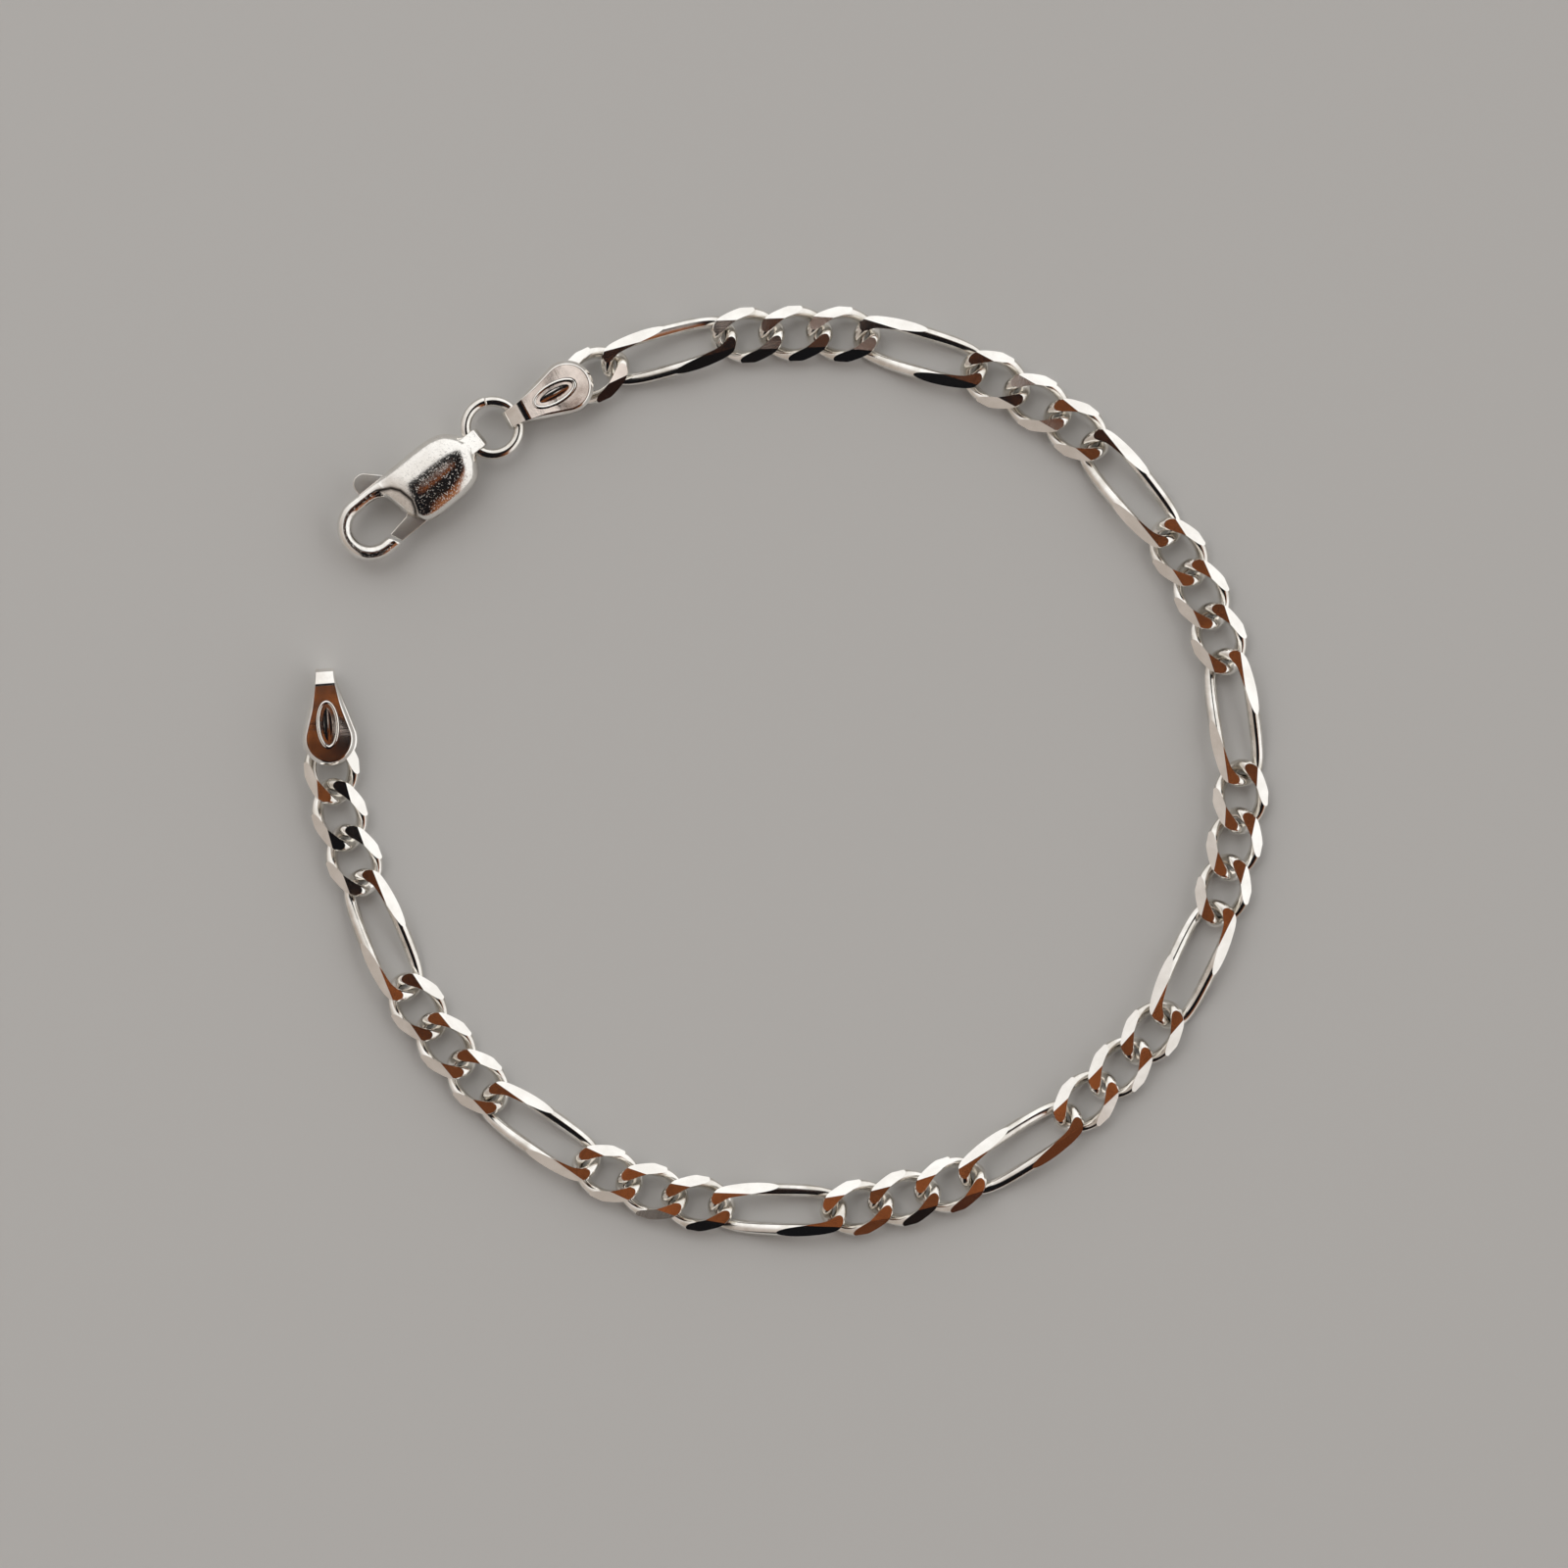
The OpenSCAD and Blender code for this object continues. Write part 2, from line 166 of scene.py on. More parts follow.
def distance_to_line(points: np.ndarray, line: np.ndarray) -> np.ndarray:
    """Distance in plan from points to a line of straight parts, with a sign.

    Args:
        points: Points whose first two coordinates are used.
        line: Corners of the line, one a row.

    Returns:
        The distance to the nearest part, positive to the left of the line.
    """
    start = line[:-1]
    along = np.diff(line, axis=0)
    away = points[..., None, :2] - start
    share = np.clip((away * along).sum(-1) / (along**2).sum(-1), 0, 1)
    gap = away - share[..., None] * along
    side = np.sign(along[:, 0] * away[..., 1] - along[:, 1] * away[..., 0])
    size = np.linalg.norm(gap, axis=-1)
    nearest = np.argmin(size, axis=-1)[..., None]
    return np.take_along_axis(size * side, nearest, -1)[..., 0]


# Meshes


@dataclass(frozen=True)
class Seat:
    """Place of a piece on the table: its origin in mm, and its own axes as columns."""

    origin: np.ndarray
    axes: np.ndarray

    def matrix(self) -> Matrix:
        """The matrix from the piece's own millimetres to the table's metres."""
        rows = np.vstack([np.column_stack([self.axes * MM, self.origin * MM]), [0, 0, 0, 1]])
        return Matrix(rows.tolist())


def grid_quads(rows: int, cols: int, wrap_rows: bool = False, wrap_cols: bool = False) -> np.ndarray:
    """Quads of a grid of points numbered row by row.

    Args:
        rows: Number of rows of points.
        cols: Number of points in a row.
        wrap_rows: Whether the last row joins the first.
        wrap_cols: Whether the last point of a row joins its first.

    Returns:
        Four point numbers a quad, one quad a row.
    """
    i = np.arange(rows if wrap_rows else rows - 1)[:, None]
    j = np.arange(cols if wrap_cols else cols - 1)[None, :]
    i2, j2 = (i + 1) % rows, (j + 1) % cols
    quads = np.stack([i * cols + j, i2 * cols + j, i2 * cols + j2, i * cols + j2], -1)
    return quads.reshape(-1, 4)


def solid_mesh(name: str, points: np.ndarray, faces: list[list[int]]) -> bpy.types.Mesh:
    """Closed mesh in millimetres, with its seams and poles closed and its faces outwards.

    Args:
        name: Name of the mesh.
        points: Points in mm, one a row.
        faces: Point numbers of each face.

    Returns:
        The mesh, smooth all over.
    """
    mesh = bpy.data.meshes.new(name)
    mesh.from_pydata(points.reshape(-1, 3).tolist(), [], faces)
    work = bmesh.new()
    work.from_mesh(mesh)
    bmesh.ops.remove_doubles(work, verts=work.verts, dist=1e-5)
    bmesh.ops.dissolve_degenerate(work, edges=work.edges, dist=1e-6)
    bmesh.ops.recalc_face_normals(work, faces=work.faces)
    work.to_mesh(mesh)
    work.free()
    mesh.shade_smooth()
    return mesh


def prism(name: str, outline: np.ndarray, low: float, high: float) -> bpy.types.Mesh:
    """Upright solid over a plan outline, between two heights.

    Args:
        name: Name of the mesh.
        outline: Corners in plan, one a row.
        low: Height of the underside.
        high: Height of the top.

    Returns:
        The closed mesh.
    """
    n = len(outline)
    bottom = np.column_stack([outline, np.full(n, low)])
    top = np.column_stack([outline, np.full(n, high)])
    sides = grid_quads(2, n, wrap_cols=True).tolist()
    return solid_mesh(name, np.vstack([bottom, top]), sides + [list(range(n)), list(range(n, 2 * n))])


def circle_outline(x: float, y: float, radius: float, at: int | np.ndarray = 64) -> np.ndarray:
    """Points round a circle in plan, at some angles in radians or so many all round."""
    t = np.linspace(0, 2 * math.pi, at, endpoint=False) if isinstance(at, int) else at
    return np.column_stack([x + radius * np.cos(t), y + radius * np.sin(t)])


def rounded_plate(name: str, outline: np.ndarray, half: float, rim: float, steps: int) -> bpy.types.Mesh:
    """Upright plate over a plan outline, with its rim rounded.

    Rings follow the outline. Going from the middle height up or down, each lies further inside it,
    as the points of a quarter circle do. Both faces are closed flat.

    Args:
        name: Name of the mesh.
        outline: Corners in plan, one a row.
        half: Half the plate's thickness.
        rim: Radius of the rim's round.
        steps: Number of rings in each quarter circle.

    Returns:
        The closed mesh.
    """
    ahead = unit(np.roll(outline, -1, axis=0) - np.roll(outline, 1, axis=0))
    inward = np.column_stack([-ahead[:, 1], ahead[:, 0]])
    quarter = np.linspace(0, math.pi / 2, steps)
    turn = np.concatenate([quarter - math.pi / 2, quarter])[:, None, None]
    height = np.repeat([rim - half, half - rim], steps)[:, None, None] + rim * np.sin(turn)
    ring = outline + rim * (1 - np.cos(turn)) * inward
    rows, cols = ring.shape[:2]
    skin = np.concatenate([ring, np.broadcast_to(height, (rows, cols, 1))], -1)
    faces = grid_quads(rows, cols, wrap_cols=True).tolist()
    faces += [list(range(cols)), list(range((rows - 1) * cols, rows * cols))]
    return solid_mesh(name, skin, faces)


def combined(base: bpy.types.Mesh, tool: bpy.types.Mesh, operation: str) -> bpy.types.Mesh:
    """Solid sum or difference of two closed meshes.

    Args:
        base: The mesh that is worked on.
        tool: The mesh that is added or taken away.
        operation: UNION or DIFFERENCE.

    Returns:
        A new mesh. Both inputs are removed.
    """
    objects = [bpy.data.objects.new(f"work_{m.name}", m) for m in (base, tool)]
    for item in objects:
        bpy.context.scene.collection.objects.link(item)
    modifier = objects[0].modifiers.new("solid", "BOOLEAN")
    modifier.object = objects[1]
    modifier.operation = operation
    modifier.solver = "MANIFOLD"
    graph = bpy.context.evaluated_depsgraph_get()
    made = bpy.data.meshes.new_from_object(objects[0].evaluated_get(graph), depsgraph=graph)
    made.name = base.name
    for item, mesh in zip(objects, (base, tool)):
        bpy.data.objects.remove(item)
        bpy.data.meshes.remove(mesh)
    return made


def places(mesh: bpy.types.Mesh) -> np.ndarray:
    """Places of a mesh's points.

    Args:
        mesh: The mesh that is read.

    Returns:
        Points in the mesh's own unit, one a row.
    """
    flat = np.empty(len(mesh.vertices) * 3, np.float32)
    mesh.vertices.foreach_get("co", flat)
    return flat.reshape(-1, 3)


def keep_own_place(mesh: bpy.types.Mesh) -> bpy.types.Mesh:
    """Stores each point's place as the attribute own, for patterns that follow the piece.

    Args:
        mesh: Mesh in the piece's own millimetres.

    Returns:
        The same mesh.
    """
    own = mesh.attributes.new("own", "FLOAT_VECTOR", "POINT")
    own.data.foreach_set("vector", places(mesh).ravel())
    return mesh


def lay_down(name: str, mesh: bpy.types.Mesh, seat: Seat, body: Body, node: str) -> None:
    """Puts a finished mesh on the table in place of its CAD node.

    Args:
        name: Name of the piece.
        mesh: Mesh in the piece's own millimetres.
        seat: Where the piece lies.
        body: Body that it moves with.
        node: CAD node that it stands for.
    """
    mesh.transform(seat.matrix())
    mesh.update()
    piece = bpy.data.objects.new(name, mesh)
    bpy.context.scene.collection.objects.link(piece)
    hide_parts(node)
    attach(piece, body.value)
    low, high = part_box(node)
    mine = np.array([v[:] for v in piece.bound_box])
    off = max(np.abs(mine.min(0) - low).max(), np.abs(mine.max(0) - high).max()) / MM
    LOG.info("%s: %d faces, box within %.2f mm of %s", name, len(mesh.polygons), off, node)


# Finishes


def linear(srgb_hex: str, strength: float = 1.0) -> tuple[float, float, float, float]:
    """Linear colour of an sRGB hex value, times a strength.

    Args:
        srgb_hex: The colour as # and six digits.
        strength: How much brighter than that it is.

    Returns:
        Red, green, blue and alpha.
    """
    parts = np.array([int(srgb_hex[k : k + 2], 16) / 255 for k in (1, 3, 5)])
    values = np.where(parts <= 0.04045, parts / 12.92, ((parts + 0.055) / 1.055) ** 2.4) * strength
    return (*values.tolist(), 1.0)


def add_node(
    tree: bpy.types.NodeTree,
    kind: str,
    inputs: dict[str | int, object] | None = None,
    out: int | str = 0,
    **settings: object,
) -> bpy.types.NodeSocket:
    """Adds one node with its settings, and sets or links its inputs.

    Args:
        tree: Tree that the node joins.
        kind: Type of node, without its ShaderNode prefix.
        inputs: Value or output socket for each input, by name or number.
        out: The output that is wanted, by name or number.
        **settings: Properties of the node. Stops are a colour ramp's places, each with its sRGB hex
            value and, where it isn't 1, its strength.

    Returns:
        The wanted output.
    """
    node = tree.nodes.new("ShaderNode" + kind)
    stops = settings.pop("stops", ())
    for name, value in settings.items():
        setattr(node, name, value)
    for _ in stops[2:]:
        node.color_ramp.elements.new(0.5)
    for element, (at, *shade) in zip(node.color_ramp.elements if stops else (), stops):
        element.position = at
        element.color = linear(*shade)
    for name, value in (inputs or {}).items():
        if isinstance(value, bpy.types.NodeSocket):
            tree.links.new(value, node.inputs[name])
        else:
            node.inputs[name].default_value = value
    return node.outputs[out]


@dataclass(frozen=True)
class SilverFinish:
    """Sterling silver under one way of finishing.

    The metal mirrors its surroundings. Its colour drifts a little from white to warm grey where it
    has started to dull, its gloss drifts with it, and its surface carries waves and a fine grain.
    Some finishes add pits or drawn lines, and one darkens its colour by a point attribute: painted shade.
    """

    name: str
    bright: str = "#FBF9F5"
    dull: str = "#DFDAD2"
    roughness: float = 0.10
    roughness_drift: float = 0.06
    drift_mm: float = 1.6
    wave_mm: float = 1.1
    wave_height_mm: float = 0.0012
    grain_mm: float = 0.09
    grain_height_mm: float = 0.0004
    pit_mm: float = 0.0
    pit_depth_mm: float = 0.0
    line_step_mm: float = 0.0
    line_height_mm: float = 0.0
    line_stretch: tuple[float, float, float] = (1.0, 0.03, 0.03)
    # Colour of a painted shade along a step, none where empty
    painted_step_shade: str = ""
    # Values of the noises, about 0.5 on average, between which colour and gloss go and pits deepen
    colour_span: tuple[float, float] = (0.38, 0.62)
    gloss_span: tuple[float, float] = (0.35, 0.65)
    pit_span: tuple[float, float] = (0.60, 0.68)

    def material(self) -> bpy.types.Material:
        """Builds the material, or takes it if it is already there.

        Returns:
            The material, one Principled shader fed by the finish's patterns.
        """
        if self.name in bpy.data.materials:
            return bpy.data.materials[self.name]
        made = bpy.data.materials.new(self.name)
        made.use_nodes = True
        tree = made.node_tree
        skin = tree.nodes["Principled BSDF"].inputs
        skin["Metallic"].default_value = 1.0
        place = add_node(tree, "TexCoord", out="Object")
        cloud = {"Vector": place, "Scale": 1 / (self.drift_mm * MM), "Detail": 3.0}
        drift = add_node(tree, "TexNoise", cloud)
        shades = zip(self.colour_span, (self.dull, self.bright))
        colour = add_node(tree, "ValToRGB", {0: drift}, stops=tuple(shades))
        dullest = self.roughness + self.roughness_drift
        span = {"From Min": self.gloss_span[0], "From Max": self.gloss_span[1]}
        span |= {"To Min": dullest, "To Max": self.roughness}
        gloss = add_node(tree, "MapRange", {"Value": drift, **span})
        # Painted shade: the colour is mixed towards a dark shade where the point attribute says, in place
        # of the step's shadow
        if self.painted_step_shade:
            share = add_node(tree, "Attribute", out="Fac", attribute_name="painted_step_shade")
            both = {"Factor": share, "A": colour, "B": linear(self.painted_step_shade)}
            colour = add_node(tree, "Mix", both, out="Result", data_type="RGBA")
        relief = {"Height": self._relief(tree, place), "Strength": 1.0, "Distance": MM}
        tree.links.new(colour, skin["Base Color"])
        tree.links.new(gloss, skin["Roughness"])
        tree.links.new(add_node(tree, "Bump", relief), skin["Normal"])
        return made

    def _relief(self, tree: bpy.types.NodeTree, place: bpy.types.NodeSocket) -> bpy.types.NodeSocket:
        """Adds up the heights of the surface's patterns in millimetres.

        Args:
            tree: Tree of the material.
            place: Place of the shaded point in metres.

        Returns:
            The socket that carries the height.
        """
        total = 0.0
        for size, height in ((self.wave_mm, self.wave_height_mm), (self.grain_mm, self.grain_height_mm)):
            noise = add_node(tree, "TexNoise", {"Vector": place, "Scale": 1 / (size * MM), "Detail": 1.0})
            total = add_node(tree, "Math", {0: noise, 1: height * 2, 2: total}, operation="MULTIPLY_ADD")
        if self.pit_depth_mm:
            noise = add_node(tree, "TexNoise", {"Vector": place, "Scale": 1 / (self.pit_mm * MM)})
            begins, whole = self.pit_span
            span = {"From Min": begins, "From Max": whole, "To Max": -self.pit_depth_mm}
            pits = add_node(tree, "MapRange", {"Value": noise, **span})
            total = add_node(tree, "Math", {0: pits, 1: total})
        if self.line_height_mm:
            own = add_node(tree, "Attribute", out="Vector", attribute_name="own")
            drawn = add_node(tree, "VectorMath", {0: own, 1: self.line_stretch}, operation="MULTIPLY")
            step, deep = self.line_step_mm, self.line_height_mm * 2
            lines = add_node(tree, "TexNoise", {"Vector": drawn, "Scale": 1 / step, "Detail": 2.0})
            total = add_node(tree, "Math", {0: lines, 1: deep, 2: total}, operation="MULTIPLY_ADD")
        return total

    def dress(self, mesh: bpy.types.Mesh, sharp_from: float) -> bpy.types.Mesh:
        """Gives a mesh this finish, keeps its points' own places and shades it smooth.

        Args:
            mesh: Mesh in the piece's own millimetres.
            sharp_from: Angle in degrees from which an edge stays sharp.

        Returns:
            The same mesh.
        """
        keep_own_place(mesh)
        mesh.shade_smooth()
        mesh.set_sharp_from_angle(angle=math.radians(sharp_from))
        mesh.materials.clear()
        mesh.materials.append(self.material())
        return mesh


# Sterling wire, bent, soldered and tumbled: a soft even mirror with faint dents
TUMBLED_WIRE = SilverFinish("sterling_wire_tumbled", roughness=0.10, wave_height_mm=0.0012)
# Faces milled flat by a diamond tool: the sharpest mirror on the piece
MILLED_FLAT = SilverFinish(
    "sterling_milled_flat",
    dull="#F3F0EB",
    roughness=0.04,
    roughness_drift=0.03,
    wave_height_mm=0.0004,
    grain_height_mm=0.0002,
)
# Faces milled aslant: bright, with tool lines across the link. The real lines are some 0.02 mm
# apart and are drawn at 0.1 mm, so that they show
MILLED_BEVEL = SilverFinish(
    "sterling_milled_bevel",
    dull="#F1EEE9",
    roughness=0.07,
    roughness_drift=0.03,
    wave_height_mm=0.0004,
    grain_height_mm=0.0002,
    line_step_mm=0.1,
    line_height_mm=0.0004,
)
# Rolled strip, stamped and folded: a mirror with long waves and fine lines across the strip
ROLLED_STRIP = SilverFinish(
    "sterling_strip_rolled",
    dull="#EBE6E0",
    roughness=0.06,
    roughness_drift=0.03,
    wave_mm=2.2,
    wave_height_mm=0.0050,
    grain_height_mm=0.0002,
    line_step_mm=0.12,
    line_height_mm=0.0003,
)
# Cast in one piece and polished by hand: a soft mirror over the grain and the fine pits that the
# mould left, which scatter light specks over its dark reflections. Its colour is painted darker
# along the step at the lip: painted shade for the step's shadow and dark reflection.
# The real pits are some 0.05 mm wide and are drawn at 0.13 mm, so that they show
CAST_POLISHED = SilverFinish(
    "sterling_cast_polished",
    dull="#F0EDE8",
    roughness=0.12,
    roughness_drift=0.04,
    wave_mm=1.4,
    wave_height_mm=0.0030,
    grain_mm=0.13,
    grain_height_mm=0.0016,
    pit_mm=0.13,
    pit_depth_mm=0.0075,
    # Painted shade of the step at the lip
    painted_step_shade="#2B221D",
)
# Spring-hard plate, stamped out and barrelled: duller than the cast body around it
STAMPED_PLATE = SilverFinish(
    "sterling_plate_stamped",
    bright="#EFEDE9",
    roughness=0.30,
    grain_mm=0.14,
    grain_height_mm=0.0030,
)
# Drawn pin, headed over: plain and bright
DRAWN_PIN = SilverFinish("sterling_pin_drawn", roughness=0.15)


# The chain


@dataclass(frozen=True)
class LinkForm:
    """One kind of link: a twisted oval of round wire, cut to two flats and four bevels."""

    pitch: float
    bow: float
    twist: float
    waist: float
    rings: int
    sides: int = 32
    wire_d: float = 0.92
    link_gap: float = 0.13
    link_w: float = 4.0
    cut_t: float = 1.48
    flat_w: float = 2.1
    bevel_angle: float = 40.0
    straightness: float = 3.0
    sharp_from: float = 12.0

    def middle(self, t: np.ndarray) -> tuple[np.ndarray, np.ndarray]:
        """Middle line of the wire.

        Along the link, x swings as a cosine, held at both ends by a smooth clip that leaves the
        arms straight. Across it, y swings as a sine, drawn in by the waist where x is small. The
        whole is then turned about x in proportion to x.

        Args:
            t: Angles round the link in radians.

        Returns:
            The points, and the turn of the link at each.
        """
        half = self.pitch / 2 + (self.wire_d + self.link_gap) / 2
        straight = half - self.bow
        clip = np.tanh(self.straightness * np.cos(t)) / math.tanh(self.straightness)
        x = (half - straight) * np.cos(t) + straight * clip
        arm = (self.link_w - self.wire_d) / 2 - self.waist * (1 - (x / half) ** 2) ** 2
        y = arm * np.sin(t)
        turn = -math.radians(self.twist) * x / half
        return np.stack([x, y * np.cos(turn), y * np.sin(turn)], -1), turn

    def mesh(self, name: str) -> bpy.types.Mesh:
        """Sweeps the wire and cuts its faces.

        A circle of the wire's radius is carried round the middle line, square to it, and all that
        stands outside six planes is sliced off and closed flat.

        Args:
            name: Name of the mesh.

        Returns:
            The closed mesh in the link's own millimetres.
        """
        t = np.linspace(0, 2 * math.pi, self.rings, endpoint=False)
        points, turn = self.middle(t)
        ahead = unit(self.middle(t + 1e-3)[0] - self.middle(t - 1e-3)[0])
        flat_up = np.stack([0 * turn, -np.sin(turn), np.cos(turn)], -1)
        side = unit(np.cross(flat_up, ahead))
        up = np.cross(ahead, side)
        s = np.linspace(0, 2 * math.pi, self.sides, endpoint=False)[None, :, None]
        skin = points[:, None] + self.wire_d / 2 * (np.cos(s) * side[:, None] + np.sin(s) * up[:, None])
        quads = grid_quads(self.rings, self.sides, wrap_rows=True, wrap_cols=True)
        mesh = solid_mesh(name, skin, quads.tolist())
        self._cut(mesh)
        return keep_own_place(mesh)

    def _cut(self, mesh: bpy.types.Mesh) -> None:
        """Slices the flats and bevels off the wire and marks their faces.

        Args:
            mesh: Mesh of the round wire.
        """
        top, ridge = self.cut_t / 2, self.flat_w / 2
        slope = math.radians(self.bevel_angle)
        lean, rise = math.sin(slope), math.cos(slope)
        planes = [((0, 0, z * top), (0, 0, z), Cut.FLAT) for z in (1, -1)]
        for y, z in ((1, 1), (1, -1), (-1, 1), (-1, -1)):
            planes.append(((0, y * ridge, z * top), (0, y * lean, z * rise), Cut.BEVEL))
        work = bmesh.new()
        work.from_mesh(mesh)
        for through, normal, kind in planes:
            everything = work.verts[:] + work.edges[:] + work.faces[:]
            bmesh.ops.bisect_plane(
                work, geom=everything, plane_co=through, plane_no=normal, clear_outer=True, dist=1e-6
            )
            rim = [edge for edge in work.edges if edge.is_boundary]
            lids = bmesh.ops.holes_fill(work, edges=rim, sides=0)["faces"]
            for lid in lids:
                lid.material_index = kind.value
                lid.smooth = False
        work.normal_update()
        for edge in work.edges:
            edge.smooth = edge.calc_face_angle(0) < math.radians(self.sharp_from)
        work.to_mesh(mesh)
        work.free()


@dataclass(frozen=True)
class Chain:
    """The laid chain: one heading a link in degrees, from the clasp's end to the free end."""

    headings: tuple[float, ...] = (
        25, 15, 2, 2, -4, -17, -28, -30, -39, -51, -57, -66, -72, -82, -93, -102, -105, -116, -131,
        -134, -137, -148, -162, -166, -171, -182, -190, -199, -205, -215, -227, -231, -236, -248,
        -250, -255, -266,
    )
    short: LinkForm = LinkForm(pitch=3.35, bow=1.9, twist=45, waist=0.0, rings=160)
    long: LinkForm = LinkForm(pitch=7.87, bow=1.27, twist=38, waist=0.15, rings=240, bevel_angle=31)
    rock_angle: float = 1.2
    nod_share: float = 0.5
    # Degrees a link that the two sines of the rocking go on by, so that no two neighbours lie alike
    rock_step: int = 137
    nod_step: int = 211
    tag_z: float = 1.06

    def is_long(self, i: int) -> bool:
        """Whether link i, counted from 1, is one of the long ones."""
        return i % 4 == 2

    def form(self, i: int) -> LinkForm:
        """Form of link i."""
        return self.long if self.is_long(i) else self.short

    def joint_z(self, i: int) -> float:
        """Height of a joint: the tags' height at the ends, and lower between them.

        Args:
            i: Number of the joint, from 0 before the first link.

        Returns:
            Height of the joint's middle in mm.
        """
        lift = self.long.pitch / 2 * math.sin(math.radians(self.rock_angle))
        inner = 2 <= i <= len(self.headings) - 2
        return self.short.cut_t / 2 + lift if inner else self.tag_z

    def rise(self, i: int) -> float:
        """Angle in degrees by which link i climbs."""
        return math.degrees(math.asin((self.joint_z(i) - self.joint_z(i - 1)) / self.form(i).pitch))

    def joints(self) -> np.ndarray:
        """Places of the joints, from the tag before the first link to the tag after the last.

        Each joint lies one pitch from the last along the link's heading, and the whole is moved so
        that the middle of its box is at the origin.

        Returns:
            Points in mm, one a row.
        """
        count = len(self.headings)
        pitches = np.array([self.form(i).pitch for i in range(1, count + 1)])
        level = pitches * np.cos(np.radians([self.rise(i) for i in range(1, count + 1)]))
        turn = np.radians(self.headings)
        steps = level[:, None] * np.column_stack([np.cos(turn), np.sin(turn)])
        plan = np.vstack([[0, 0], np.cumsum(steps, axis=0)])
        plan -= (plan.min(0) + plan.max(0)) / 2
        return np.column_stack([plan, [self.joint_z(i) for i in range(count + 1)]])

    def seat(self, i: int) -> Seat:
        """Place of a link between its two joints, rocked a little as loose links are.

        Args:
            i: Number of the link, from 1.

        Returns:
            Its middle in mm, and its axes.
        """
        joints = self.joints()
        loose = self.rock_angle if 3 <= i <= len(self.headings) - 2 else 0.0
        rock = loose * math.sin(math.radians(i * self.rock_step))
        nod = loose * self.nod_share * math.sin(math.radians(i * self.nod_step))
        axes = axes_turned(rock, nod - self.rise(i), self.headings[i - 1])
        return Seat((joints[i - 1] + joints[i]) / 2, axes)

    def build(self) -> None:
        """Makes one mesh a kind of link and lays a copy of it for each link."""
        finishes = [f.material() for f in (TUMBLED_WIRE, MILLED_FLAT, MILLED_BEVEL)]
        masters = {False: self.short.mesh("short_link"), True: self.long.mesh("long_link")}
        for master in masters.values():
            for finish in finishes:
                master.materials.append(finish)
        for i in range(1, len(self.headings) + 1):
            mesh = masters[self.is_long(i)].copy()
            lay_down(f"cut_link_{i:02d}", mesh, self.seat(i), Body.BRACELET, f"link_{i:02d}")
        for master in masters.values():
            bpy.data.meshes.remove(master)


# The tags


